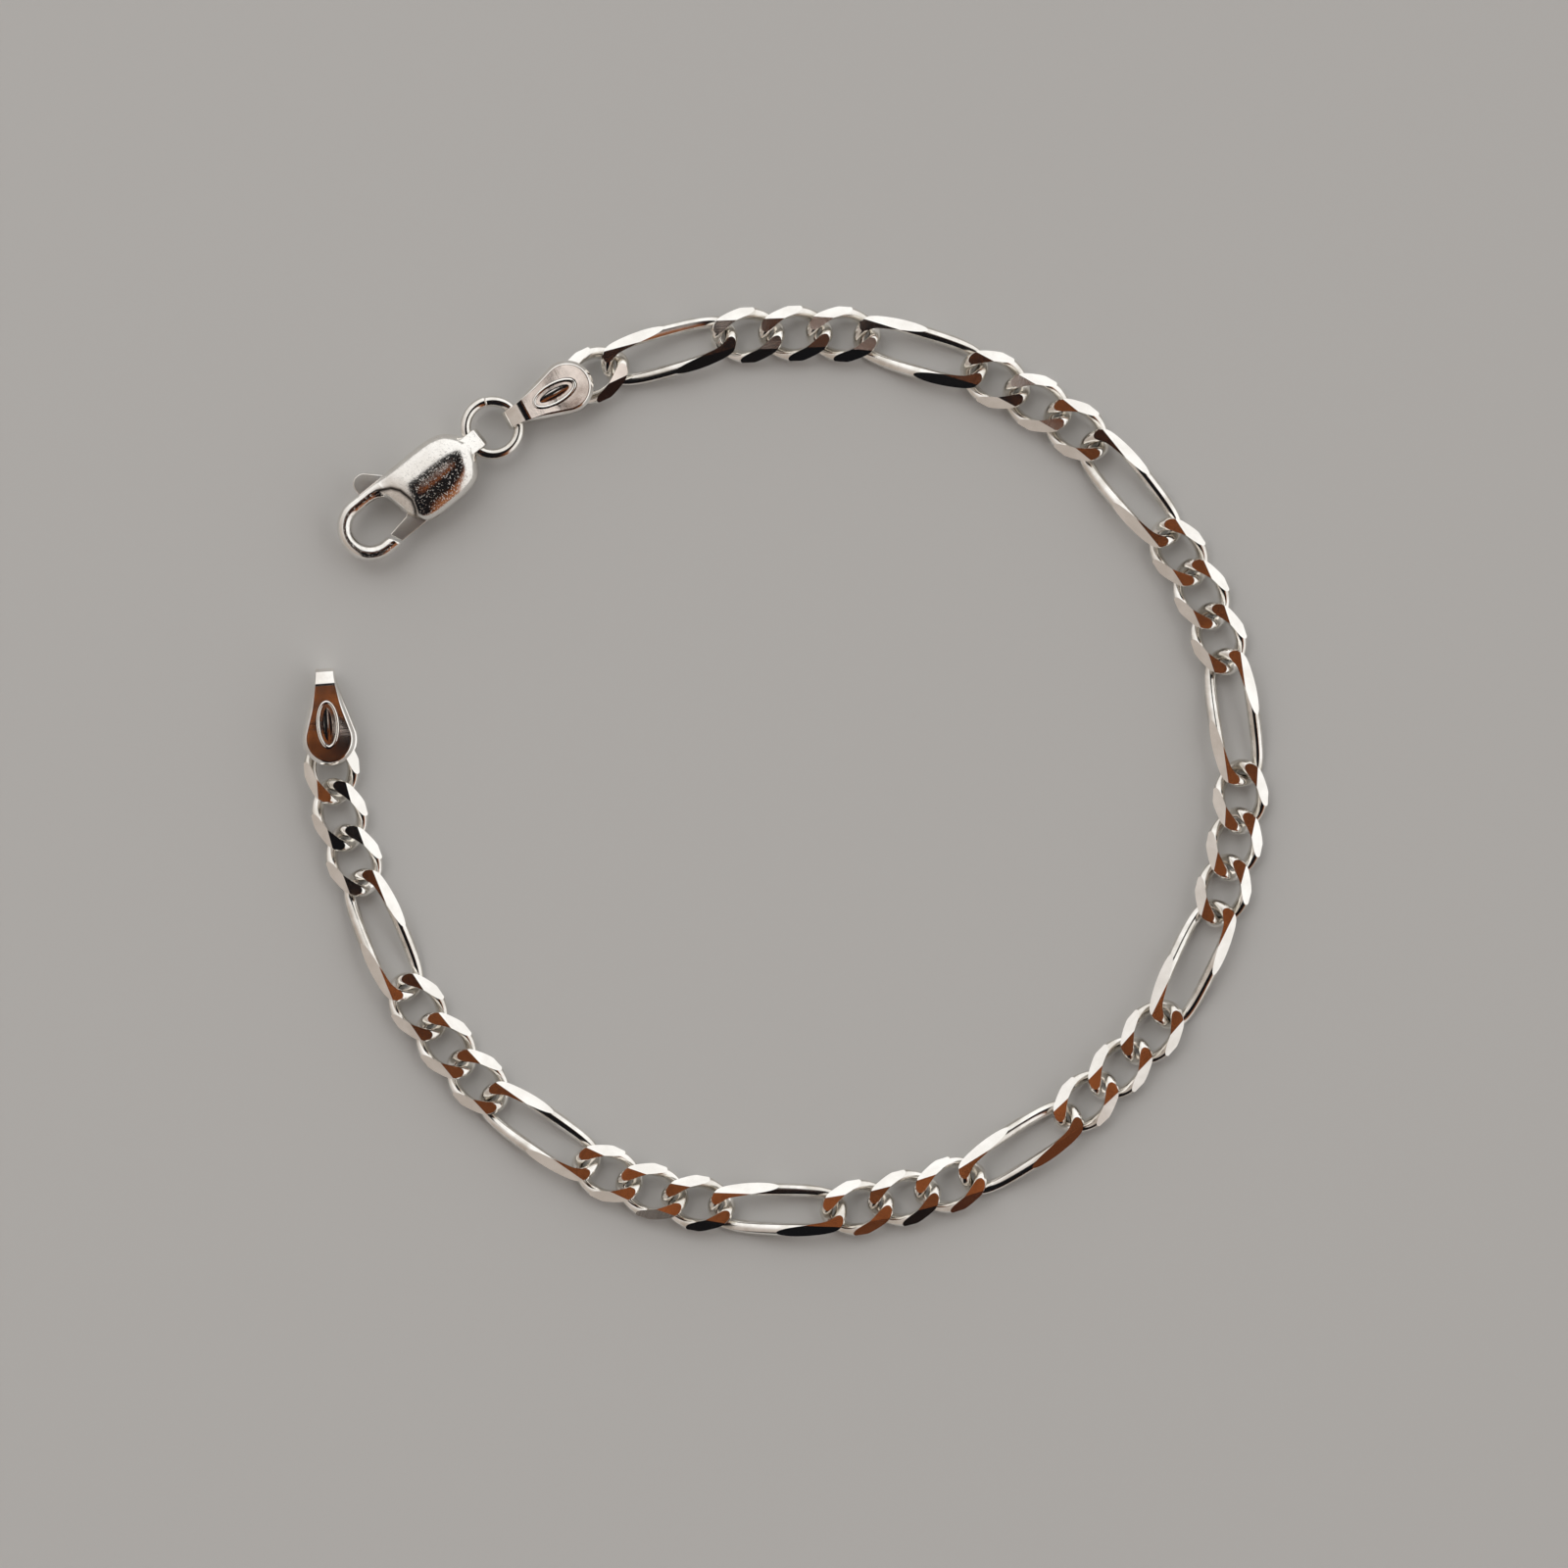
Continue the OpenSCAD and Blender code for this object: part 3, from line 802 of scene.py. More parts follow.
@dataclass(frozen=True)
class Tag:
    """A strip with two round ends, folded into an eyelet and soldered, its leaves over the last link."""

    leaf_r: float = 1.84
    leaf_t: float = 0.28
    reach: float = 4.16
    strap_w: float = 1.34
    neck_l: float = 0.12
    web_l: float = 0.35
    leaf_in: float = 0.78
    loop_r: float = 0.657
    bore_r: float = 0.517
    rim: float = 0.28
    neck_rim: float = 0.08
    rim_soft: float = 0.22
    fold_r: float = 0.9
    splay: float = -1.2
    oval_l: float = 3.3
    oval_w: float = 1.5
    oval_at: float = 1.0
    line_w: float = 0.15
    line_h: float = 0.04
    boss_l: float = 2.3
    boss_w: float = 0.6
    boss_h: float = 0.025
    dome_h: float = 0.018
    neck_soft: float = 0.12
    rim_grow: float = 2.2
    turn_over: float = 0.6
    web_inset: float = 0.04
    # How far the closely spaced rows of the skin reach in from a round end, as a share of its radius
    nose: float = 0.9
    nose_rows: int = 44
    strip_rows: int = 330

    @property
    def mid(self) -> float:
        """Height of a leaf's middle above the middle of the tag."""
        return self.leaf_in + self.leaf_t / 2

    @property
    def neck(self) -> float:
        """Where the strip begins to slope towards the eyelet."""
        return self.reach - self.neck_l

    def slope(self) -> float:
        """How steeply the strip falls from the leaf to touch the eyelet, starting at the neck.

        Of many angles it takes the one whose line, going back from where it touches the eyelet's
        round, comes up to the leaf's height nearest to the neck.

        Returns:
            The angle in radians.
        """
        angles = np.radians(np.linspace(12, 40, 600))
        touch = self.reach + self.loop_r * np.sin(angles)
        start = touch - (self.mid - self.loop_r * np.cos(angles)) / np.tan(angles)
        return float(angles[np.argmin(np.abs(start - self.neck))])

    def bends(self) -> tuple[np.ndarray, np.ndarray]:
        """Straight and bent parts of the strip, in order from the end of its upper leaf.

        Returns:
            The length of each part, and the turn that the strip makes over it in radians.
        """
        dip = self.slope()
        slope_l = (self.mid - self.loop_r * math.cos(dip)) / math.sin(dip)
        start_x = self.reach + self.loop_r * math.sin(dip) - slope_l * math.cos(dip)
        cut_back = self.fold_r * math.tan(dip / 2)
        leaf, bend = start_x + self.leaf_r - cut_back, self.fold_r * dip
        slant, around = slope_l - cut_back, math.pi - 2 * dip
        lengths = np.array([leaf, bend, slant, self.loop_r * around, slant, bend, leaf])
        return lengths, np.array([0, -dip, 0, -around, 0, -dip, 0])

    def fold_line(self, u: np.ndarray) -> tuple[np.ndarray, np.ndarray]:
        """Middle of the folded strip, seen from its edge.

        The heading of the strip is a sum of steps: it dips at the neck, turns back round the
        eyelet and levels out again. Each step is spread evenly over its bend, and the place is the
        heading's running sum.

        Args:
            u: Distances along the strip from the end of its upper leaf.

        Returns:
            Points (x, z) and headings in radians.
        """
        lengths, turns = self.bends()
        ends = np.concatenate([[0], np.cumsum(lengths)])
        fine = np.linspace(0, ends[-1], 6001)
        heading = np.interp(fine, ends, np.concatenate([[0], np.cumsum(turns)]))
        step = fine[1] - fine[0]
        mid_heading = (heading[1:] + heading[:-1]) / 2
        x = -self.leaf_r + np.concatenate([[0], np.cumsum(np.cos(mid_heading) * step)])
        z = self.mid + np.concatenate([[0], np.cumsum(np.sin(mid_heading) * step)])
        at = np.clip(u, 0, ends[-1])
        line = np.stack([np.interp(at, fine, x), np.interp(at, fine, z)], -1)
        return line, np.interp(at, fine, heading)

    def strip_length(self) -> float:
        """Length of the strip along its middle, end to end."""
        return float(self.bends()[0].sum())

    def half_width(self, x: np.ndarray) -> tuple[np.ndarray, float]:
        """Half width of the flat strip at distance x from the middle of its round end.

        A circle up to where the flanks touch it, then straight flanks down to the strap, with the
        corner where they meet it softened.

        Args:
            x: Distances from the round end's middle, towards the eyelet.

        Returns:
            The half widths, and the slope of a flank in radians.
        """
        half_strap = self.strap_w / 2
        span = math.hypot(self.neck, half_strap)
        flank = math.atan2(half_strap, self.neck) + math.acos(self.leaf_r / span)
        lean = math.pi / 2 - flank
        circle = np.sqrt(np.clip(self.leaf_r**2 - x**2, 0, None))
        straight = self.leaf_r / math.cos(lean) - x * math.tan(lean)
        spare = np.where(x < self.leaf_r * math.cos(flank), circle, straight) - half_strap
        softened = (spare + np.hypot(spare, self.neck_soft)) / 2
        return half_strap + np.where(x > 0, softened, spare), lean

    def relief(self, x: np.ndarray, y: np.ndarray) -> np.ndarray:
        """Height of the raised oval line and the plain boss within it on the slightly domed leaf.

        The line is a half round whose crest runs along an ellipse. The boss is a low oval dome that
        goes as a parabola does. The leaf goes as a parabola squared, and is level again at its edge.

        Args:
            x: Distances from the round end's middle, towards the eyelet.
            y: Distances across the leaf.

        Returns:
            Heights in mm.
        """
        long, wide = (self.oval_l - self.line_w) / 2, (self.oval_w - self.line_w) / 2
        dx = x - self.oval_at
        size = np.sqrt((dx / long) ** 2 + (y / wide) ** 2) + 1e-9
        slope = np.sqrt(dx**2 / long**4 + y**2 / wide**4) / size + 1e-9
        off = (size - 1) / slope / (self.line_w / 2)
        line = np.sqrt(np.clip(1 - off**2, 0, 1))
        boss = np.clip(1 - (2 * dx / self.boss_l) ** 2 - (2 * y / self.boss_w) ** 2, 0, 1)
        dome = np.clip(1 - (x**2 + y**2) / self.leaf_r**2, 0, 1) ** 2
        return self.line_h * line + self.boss_h * boss + self.dome_h * dome

    def strip(self, name: str) -> bpy.types.Mesh:
        """The folded strip.

        A point of the flat strip has a place u along it and y across it. It goes to the fold line
        at u, and out of it along the line's normal by half the thickness. Within the rim's width of
        the outline the skin that looks up falls away along a soft chamfer, down to the other skin.

        Args:
            name: Name of the mesh.

        Returns:
            The closed mesh in the tag's own millimetres.
        """
        whole, nose = self.strip_length(), self.leaf_r * self.nose
        turned = np.linspace(0, math.acos(1 - nose / self.leaf_r), self.nose_rows)
        cap = self.leaf_r * (1 - np.cos(turned))
        middle = np.linspace(nose, whole - nose, self.strip_rows)
        u = np.concatenate([cap, middle[1:-1], whole - cap[::-1]])
        x = np.minimum(u, whole - u) - self.leaf_r
        half, lean = self.half_width(x)
        half = np.maximum(half, 0)
        fine, coarse = 120, 12
        share = np.sin(np.linspace(-math.pi / 2, math.pi / 2, fine + 1))
        under = share[:: fine // coarse]
        skins = [self._side(u, x, half, lean, share, 1.0), self._side(u, x, half, lean, under, -1.0)]
        top, bottom = (grid_quads(len(u), len(s)) for s in (share, under))
        bottom = bottom + len(u) * len(share)
        faces = top.tolist() + bottom[:, ::-1].tolist()
        return solid_mesh(name, np.vstack([s.reshape(-1, 3) for s in skins]), faces)

    def _side(
        self, u: np.ndarray, x: np.ndarray, half: np.ndarray, lean: float, share: np.ndarray, out: float
    ) -> np.ndarray:
        """Points of the outer or inner skin of the folded strip.

        Args:
            u: Places along the strip.
            x: The same, from the middle of the nearer round end.
            half: Half widths of the strip there.
            lean: Slope of a flank in radians.
            share: Places across the strip as shares of the half width.
            out: 1 for the outer skin, -1 for the inner.

        Returns:
            Points in mm, a row of them for each place along.
        """
        y = half[:, None] * share[None, :]
        across = np.abs(y)
        radial = np.hypot(x[:, None], across)
        on_circle = np.arctan2(across, x[:, None]) > math.pi / 2 - lean
        gap = np.where(on_circle, self.leaf_r - radial, (half[:, None] - across) * math.cos(lean))
        widen = smooth_step((self.neck - x) / self.rim_grow)
        rim = (self.neck_rim + (self.rim - self.neck_rim) * widen)[:, None]
        depth, soft = np.clip(1 - gap / rim, 0, 1), self.rim_soft
        fall = (np.hypot(depth, soft) - soft) / (math.hypot(1, soft) - soft)
        line, heading = self.fold_line(u)
        past = (u - self.strip_length() / 2)[:, None]
        upper = past < 0
        lower = smooth_step(past / self.turn_over + 0.5)
        height = self.leaf_t / 2 - self.leaf_t * fall * (1 - lower if out > 0 else lower)
        if out > 0:
            height += np.where(upper, self.relief(x[:, None], y), 0)
        normal = np.stack([-np.sin(heading), np.cos(heading)], -1)[:, None] * out
        place = line[:, None] + normal * height[..., None]
        slip = math.tan(math.radians(self.splay)) * np.clip(self.reach - place[..., 0], 0, None)
        y = y + np.where(upper, 0.0, slip)
        return np.stack([place[..., 0], y, place[..., 1]], -1)

    def web(self) -> bpy.types.Mesh:
        """Solder between the two sides of the neck, with the eyelet's bore at its end.

        Seen from its edge, its outline runs along the middle of the strip above and below, and
        back round the bore. It is as wide as the strap, less a little.

        Returns:
            The closed mesh in the tag's own millimetres.
        """
        dip = self.slope()
        touch = (self.reach + self.loop_r * math.sin(dip), self.loop_r * math.cos(dip))
        arc = np.linspace(math.pi / 2 - dip, 3 * math.pi / 2 + dip, 40)
        bore = circle_outline(self.reach, 0, self.bore_r, arc)
        front = np.array([(self.neck - self.web_l, self.mid), (self.neck, self.mid), touch])
        half = self.strap_w / 2 - self.web_inset
        block = prism("web", np.vstack([front, bore, front[::-1] * (1, -1)]), -half, half)
        block.transform(ON_EDGE)
        return block

    def build(self, name: str, node: str, seat: Seat) -> None:
        """Makes one tag and lays it on the table.

        Args:
            name: Name of the piece.
            node: CAD node that it stands for.
            seat: Where its round end lies, with x towards its eyelet.
        """
        mesh = combined(self.strip(name), self.web(), "UNION")
        ROLLED_STRIP.dress(mesh, sharp_from=50)
        lay_down(name, mesh, seat, Body.BRACELET, node)


# The jump ring


@dataclass(frozen=True)
class JumpRing:
    """A ring of round wire whose two ends meet in a butt joint, with a thin flash of solder on it."""

    ring_d: float = 4.5
    wire_d: float = 0.75
    seam_at: float = 106.0
    seam_w: float = 0.035
    flash: float = 0.055
    seam_step: float = 0.02
    crowding: float = 1.6
    rings: int = 200
    sides: int = 48

    def build(self, seat: Seat) -> None:
        """Makes the ring and lays it on the table.

        A circle is carried round a larger one. Its radius swells in a narrow ridge at the seam, and
        its middle steps a little there and comes back over the whole round. The angles go as a
        power of an even spread, so that they crowd at the seam.

        Args:
            seat: Where the ring lies. Its seam is turned to its angle on the table.
        """
        facing = math.degrees(math.atan2(seat.axes[1, 0], seat.axes[0, 0]))
        big = (self.ring_d - self.wire_d) / 2
        spread = np.linspace(-1, 1, self.rings, endpoint=False)
        t = math.pi * np.sign(spread) * np.abs(spread) ** self.crowding
        small = (self.wire_d / 2 + self.flash * np.exp(-((t * big / self.seam_w) ** 2)))[:, None]
        step = self.seam_step * np.sign(t) * (1 - np.abs(t) / math.pi) ** 2
        s = np.linspace(0, 2 * math.pi, self.sides, endpoint=False)
        reach = (big + step)[:, None] + small * np.cos(s)
        angle = (t + math.radians(self.seam_at - facing))[:, None]
        skin = np.stack([reach * np.cos(angle), reach * np.sin(angle), small * np.sin(s)], -1)
        mesh = solid_mesh("jump_ring_wire", skin, grid_quads(len(t), len(s), True, True).tolist())
        TUMBLED_WIRE.dress(mesh, sharp_from=40)
        lay_down("ring_wire", mesh, seat, Body.BRACELET, "jump_ring")


# The clasp


@dataclass(frozen=True)
class Clasp:
    """The lobster clasp: a domed body with its eyelet, spine and hook, and the lever in its slot.

    Its own x runs from the hook to the ring and its own y from the lever to the spine.
    """

    body_l: float = 6.65
    body_w: float = 4.75
    body_t: float = 3.1
    eyelet_w: float = 1.38
    eyelet_wall: float = 0.36
    eyelet_reach: float = 0.42
    spine_l: float = 2.35
    hook_r: float = 1.8
    hook_w: float = 1.06
    hook_t: float = 1.26
    hook_tip: float = 0.78
    tip_lean: float = 26.0
    lever_t: float = 0.5
    lever_gap: float = 0.1
    lever_swing: float = 25.0
    tongue_gap: float = 0.2
    tab_l: float = 1.06
    tab_r: float = 0.74
    tab_ahead: float = 0.84
    tab_foot: float = 0.58
    boss_r: float = 0.8
    pin_r: float = 0.3
    pin_l: float = 1.8
    pin_back: float = 2.0
    pin_in: float = 1.05
    pin_play: float = 0.05
    pin_seat: float = 0.02
    bore_r: float = 0.521
    # Where the front, the eyelet, the spine's edge and the lever's side lie, as shares of the body
    front_share: float = -0.075
    rear_share: float = 0.895
    spine_share: float = 0.46
    lever_share: float = -0.53
    # Sections of the body from rear to front: place, lower and upper edge, and thickness, as shares
    rows: tuple[tuple[float, float, float, float], ...] = (
        (0.93, -0.15, 0.15, 0.55),
        (0.895, -0.24, 0.21, 0.68),
        (0.84, -0.36, 0.31, 0.85),
        (0.75, -0.465, 0.40, 0.96),
        (0.60, -0.52, 0.455, 1.00),
        (0.39, -0.53, 0.465, 1.00),
        (0.18, -0.52, 0.46, 0.98),
        (0.085, -0.48, 0.46, 0.91),
        (0.022, -0.39, 0.46, 0.81),
        (-0.022, -0.29, 0.46, 0.72),
        (-0.052, -0.16, 0.46, 0.64),
        (-0.075, 0.01, 0.46, 0.57),
        (-0.10, 0.12, 0.46, 0.50),
        (-0.15, 0.19, 0.46, 0.45),
        (-0.23, 0.235, 0.46, 0.41),
        (-0.42, 0.237, 0.46, 0.406),
    )
    # Line where the dome ends and the sloping lip over the hook's opening begins
    lip_line: tuple[tuple[float, float], ...] = (
        (-1.5, 1.62), (-0.9, 1.52), (0.0, 1.03), (0.4, 0.48), (0.55, -0.16), (0.62, -0.56), (0.45, -1.1),
        (0.1, -1.65), (-0.2, -1.9),
    )
    lip_step: float = 0.16
    lip_blend: float = 0.16
    lip_fade: tuple[float, float] = (0.8, 0.5)
    # Width of the band of painted shade along the lip line
    painted_shade_w: float = 0.15
    # How much squarer than an oval the body's sections are, and over what length they become so
    squareness: float = 0.14
    square_l: float = 1.2
    cap_l: float = 0.12
    body_rings: int = 190
    cap_rings: int = 5
    bow_rings: int = 84
    sides: int = 160
    # How far along the tip its sections stand, and how much of its thickness they have
    tip_along: tuple[float, ...] = (0.2, 0.4, 0.6, 0.76, 0.87, 0.93, 0.97, 1.0, 1.0)
    tip_shrink: tuple[float, ...] = (1.0, 1.0, 1.0, 1.0, 1.0, 0.98, 0.94, 0.85, 0.0)
    # The eyelet's strap: where it starts as a share of the body, half its height there, and half its
    # height and its round at its end
    strap_in: float = 0.83
    strap_high: float = 1.08
    strap_low: float = 0.58
    strap_slope_l: float = 0.22
    strap_round: float = 0.3
    strap_rim: float = 0.1
    lever_rim: float = 0.09

    @property
    def front(self) -> float:
        """Front of the body."""
        return self.front_share * self.body_l

    @property
    def spine_y(self) -> float:
        """Outer edge of the spine."""
        return self.spine_share * self.body_w

    @property
    def hook_x(self) -> float:
        """Middle of the hook's bow, along the clasp."""
        return self.front - self.spine_l

    @property
    def hook_y(self) -> float:
        """Middle of the hook's bow, across the clasp."""
        return self.spine_y - self.hook_w / 2 - self.hook_r

    @property
    def tip(self) -> tuple[float, float]:
        """Middle of the face at the hook's tip."""
        return self.hook_x + self.hook_tip, self.hook_y - self.hook_r

    @property
    def pin(self) -> tuple[float, float]:
        """Middle of the lever's pin."""
        return self.front + self.pin_back, self.lever_share * self.body_w + self.pin_in

    @property
    def eyelet_x(self) -> float:
        """Middle of the rear eyelet."""
        return self.rear_share * self.body_l + self.eyelet_reach

    @property
    def arm_root(self) -> tuple[float, float]:
        """Corner between the lever's boss and its arm, on the side of the body's rear."""
        return self.pin[0] - 0.8 * self.boss_r, self.hook_y + 0.6 * self.hook_r

    def sections(self) -> np.ndarray:
        """Sections of the one skin from the rear of the body round the hook to its tip.

        Returns:
            Rows of middle x, middle y, heading in degrees, half width, half thickness and fullness.
        """
        sizes = [self.body_l, self.body_w, self.body_w, self.body_t]
        body = curve_through(np.array(self.rows) * sizes, self.body_rings)
        close = np.cos(np.linspace(math.pi / 2, 0.2, self.cap_rings))[:, None]
        cap = np.hstack([body[0, 0] + self.cap_l * (1 - close), body[0, 1:] * close])
        x, low, high, thick = np.vstack([cap, body]).T
        square = smooth_step((x - self.front) / self.square_l) * smooth_step(0.9 * self.body_l - x)
        full = 1 - self.squareness * square
        head = np.column_stack([x, (low + high) / 2, 0 * x + 180, (high - low) / 2, thick / 2, full])
        turn = np.linspace(90, 270, self.bow_rings)
        round_bow = circle_outline(self.hook_x, self.hook_y, self.hook_r, np.radians(turn))
        half_w, half_t = self.hook_w / 2, self.hook_t / 2
        bow = np.column_stack([round_bow, turn + 90, [(half_w, half_t, 1.0)] * len(turn)])
        along, shrink = np.array([self.tip_along, self.tip_shrink])
        lean = self.tip_lean * smooth_step(along)
        wide = half_w / np.cos(np.radians(lean))
        end_x = self.hook_x + along * self.hook_tip
        end_y = np.full(len(along), self.tip[1])
        end = np.column_stack([end_x, end_y, 360 + lean, wide * shrink, half_t * shrink, 0 * along + 1])
        return np.vstack([head, bow[1:], end])

    def lip(self, points: np.ndarray, spare: float) -> tuple[np.ndarray, np.ndarray]:
        """How points lie to the lip line.

        Args:
            points: Points in the clasp's own millimetres.
            spare: How much further than the line its two ends are taken to reach.

        Returns:
            Distances from the line, and shares that fade out smoothly at its two ends.
        """
        line = np.array(self.lip_line)
        fade_x = smooth_step((points[..., 0] - line[0, 0] + spare) / self.lip_fade[0])
        fade_y = smooth_step((points[..., 1] - line[-1, 1] + spare) / self.lip_fade[1])
        return distance_to_line(points, line), fade_x * fade_y

    def skin(self) -> bpy.types.Mesh:
        """Body, spine and hook as one skin.

        Each section is an oval across the path: its width goes as a cosine and its thickness as a
        sine, both raised to the section's fullness. In front of the lip line the heights are then
        lowered by a small step.

        Returns:
            The closed mesh in the clasp's own millimetres.
        """
        rows = self.sections()
        t = np.linspace(0, 2 * math.pi, self.sides, endpoint=False)
        x, y, heading, half_w, half_t, full = (rows[:, k, None] for k in range(6))
        across = half_w * np.sign(np.cos(t)) * np.abs(np.cos(t)) ** full
        up = half_t * np.sign(np.sin(t)) * np.abs(np.sin(t)) ** full
        angle = np.radians(heading)
        skin = np.stack([x - np.sin(angle) * across, y + np.cos(angle) * across, up], -1)
        off, reach = self.lip(skin, 0.1)
        body_part = (np.arange(len(rows)) < self.body_rings + self.cap_rings)[:, None]
        step = self.lip_step * smooth_step(0.5 - off / self.lip_blend) * reach * body_part
        skin[..., 2] -= step * np.clip(skin[..., 2] / np.maximum(half_t, 1e-6), -1, 1)
        quads = grid_quads(len(rows), len(t), wrap_cols=True)
        return solid_mesh("clasp_skin", skin, quads.tolist())

    def eyelet(self) -> bpy.types.Mesh:
        """The rear eyelet: a strap that slopes down from the body and comes round the bore.

        Seen from its edge, its outline is symmetric and runs from inside the body down to the
        strap's round end.

        Returns:
            The closed mesh in the clasp's own millimetres.
        """
        end = self.eyelet_x + self.bore_r + self.eyelet_wall
        upper = [
            (end, 0.1, self.strap_round),
            (end - self.strap_slope_l, self.strap_low, self.strap_round),
            (self.body_l * self.strap_in, self.strap_high, 0.05),
        ]
        corners = [(x, -z, radius) for x, z, radius in reversed(upper)] + upper
        outline = rounded_outline(corners, 12)
        strap = rounded_plate("eyelet", outline, self.eyelet_w / 2, self.strap_rim, 6)
        strap.transform(ON_EDGE)
        return strap

    def opened(self, x: float, y: float) -> tuple[float, float]:
        """Where a point of the lever is when it is open, moved clear by the gap.

        Args:
            x: The point's place along the clasp while the lever is closed.
            y: The same, across it.

        Returns:
            Its place along and across the clasp when the lever is open.
        """
        turn = math.radians(self.lever_swing)
        dx, dy = x - self.pin[0], y - self.pin[1]
        return (
            self.pin[0] + dx * math.cos(turn) + dy * math.sin(turn) + self.lever_gap,
            self.pin[1] - dx * math.sin(turn) + dy * math.cos(turn),
        )

    def slot(self) -> list[bpy.types.Mesh]:
        """Space that the lever swings in, from its boss to the spine and out at the front.

        Returns:
            Two closed meshes: the space that is swept, and the round one about the pin.
        """
        pin_x, pin_y = self.pin
        side = 2 * self.body_w
        half = self.lever_t / 2 + self.lever_gap
        heel = self.opened(self.front + self.tab_foot, self.spine_y)
        arm = self.opened(*self.arm_root)
        near = self.front - self.tab_ahead - self.tab_r - self.lever_gap
        edge = self.tip[1] + self.hook_w
        swept = np.array([
            (near, side), (heel[0], side), arm, (pin_x + self.boss_r + self.lever_gap, pin_y),
            (pin_x, pin_y), (pin_x, -side), (self.front, -side), (self.front, edge), (near, edge),
        ])
        round_pin = circle_outline(pin_x, pin_y, self.boss_r + self.lever_gap)
        return [prism("slot", swept, -half, half), prism("slot_round", round_pin, -half, half)]

    def body_mesh(self) -> bpy.types.Mesh:
        """The body with its eyelet, slot and pin hole.

        Returns:
            The closed mesh in the clasp's own millimetres.
        """
        mesh = combined(self.skin(), self.eyelet(), "UNION")
        bore = prism("bore", circle_outline(self.eyelet_x, 0, self.bore_r, 96), -self.body_w, self.body_w)
        bore.transform(ON_EDGE)
        hole = circle_outline(*self.pin, self.pin_r + self.pin_seat, 32)
        deep = self.pin_l / 2 + self.pin_seat
        for tool in (bore, *self.slot(), prism("pin_hole", hole, -deep, deep)):
            mesh = combined(mesh, tool, "DIFFERENCE")
        return mesh

    def mark_painted_step_shade(self, mesh: bpy.types.Mesh) -> None:
        """Stores how much painted shade each point gets along the step at the lip, which darkens its
        colour.

        The share falls off to both sides of the lip line as a bell curve does, and fades out towards
        the line's two ends.

        Args:
            mesh: The body in the clasp's own millimetres.
        """
        off, ends = self.lip(places(mesh), 0.0)
        share = np.exp(-((off / self.painted_shade_w) ** 2)) * ends
        painted_step_shade = mesh.attributes.new("painted_step_shade", "FLOAT", "POINT")
        painted_step_shade.data.foreach_set("value", share.astype(np.float32))

    def tongue_front(self, above: float) -> tuple[float, float]:
        """Point of the tongue's end that faces the hook's slanted tip, at a height above its middle."""
        lean = math.tan(math.radians(self.tip_lean))
        return self.tip[0] - above * lean + self.tongue_gap, self.tip[1] + above

    def lever_outline(self) -> np.ndarray:
        """The lever from above: tongue, boss round the pin, arm and thumb tab, all corners rounded.

        Returns:
            Points of the outline, one a row.
        """
        pin_x, pin_y = self.pin
        tab_x, tab_y = self.front - self.tab_ahead, self.spine_y + self.tab_l - self.tab_r
        low, high = self.tongue_front(-0.32 * self.hook_w), self.tongue_front(0.5 * self.hook_w)
        corners = [
            (*low, 0.12),
            (pin_x + self.boss_r, pin_y - self.boss_r, 0.79),
            (pin_x + self.boss_r, pin_y + 0.4, 0.35),
            (*self.arm_root, 0.6),
            (self.front + self.tab_foot, self.spine_y, 0.5),
            (tab_x + 0.30, tab_y + self.tab_r, 0.73),
            (tab_x - self.tab_r, tab_y + self.tab_r, 0.73),
            (tab_x - self.tab_r, self.spine_y - self.hook_w / 2, 0.2),
            (self.front, self.spine_y - self.hook_w, 0.3),
            (self.front + 0.3 * self.hook_w, self.hook_y, 0.4),
            (self.front + 0.2 * self.hook_w, self.tip[1] + 0.8 * self.hook_w, 0.3),
            (*high, 0.11),
        ]
        return rounded_outline(corners, 12)

    def lever_mesh(self) -> bpy.types.Mesh:
        """The lever: a plate whose rim is rounded, with the pin's hole in it.

        Returns:
            The closed mesh in the clasp's own millimetres.
        """
        plate = rounded_plate("lever_plate", self.lever_outline(), self.lever_t / 2, self.lever_rim, 7)
        hole = prism("hole", circle_outline(*self.pin, self.pin_r + self.pin_play, 48), -2, 2)
        return combined(plate, hole, "DIFFERENCE")

    def build(self, seat: Seat) -> None:
        """Makes the body and the lever, lays them on the table and dresses the pin.

        Args:
            seat: Where the clasp's own origin and axes lie.
        """
        body = CAST_POLISHED.dress(self.body_mesh(), sharp_from=38)
        # Painted shade along the step at the lip
        self.mark_painted_step_shade(body)
        lay_down("cast_body", body, seat, Body.BRACELET, "clasp_body")
        lever = STAMPED_PLATE.dress(self.lever_mesh(), sharp_from=50)
        lay_down("lever_plate", lever, seat, Body.LEVER, "clasp_lever")
        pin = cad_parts["lever_pin"]
        pin.data.materials.clear()
        pin.data.materials.append(DRAWN_PIN.material())


# Where the ends of the chain lie


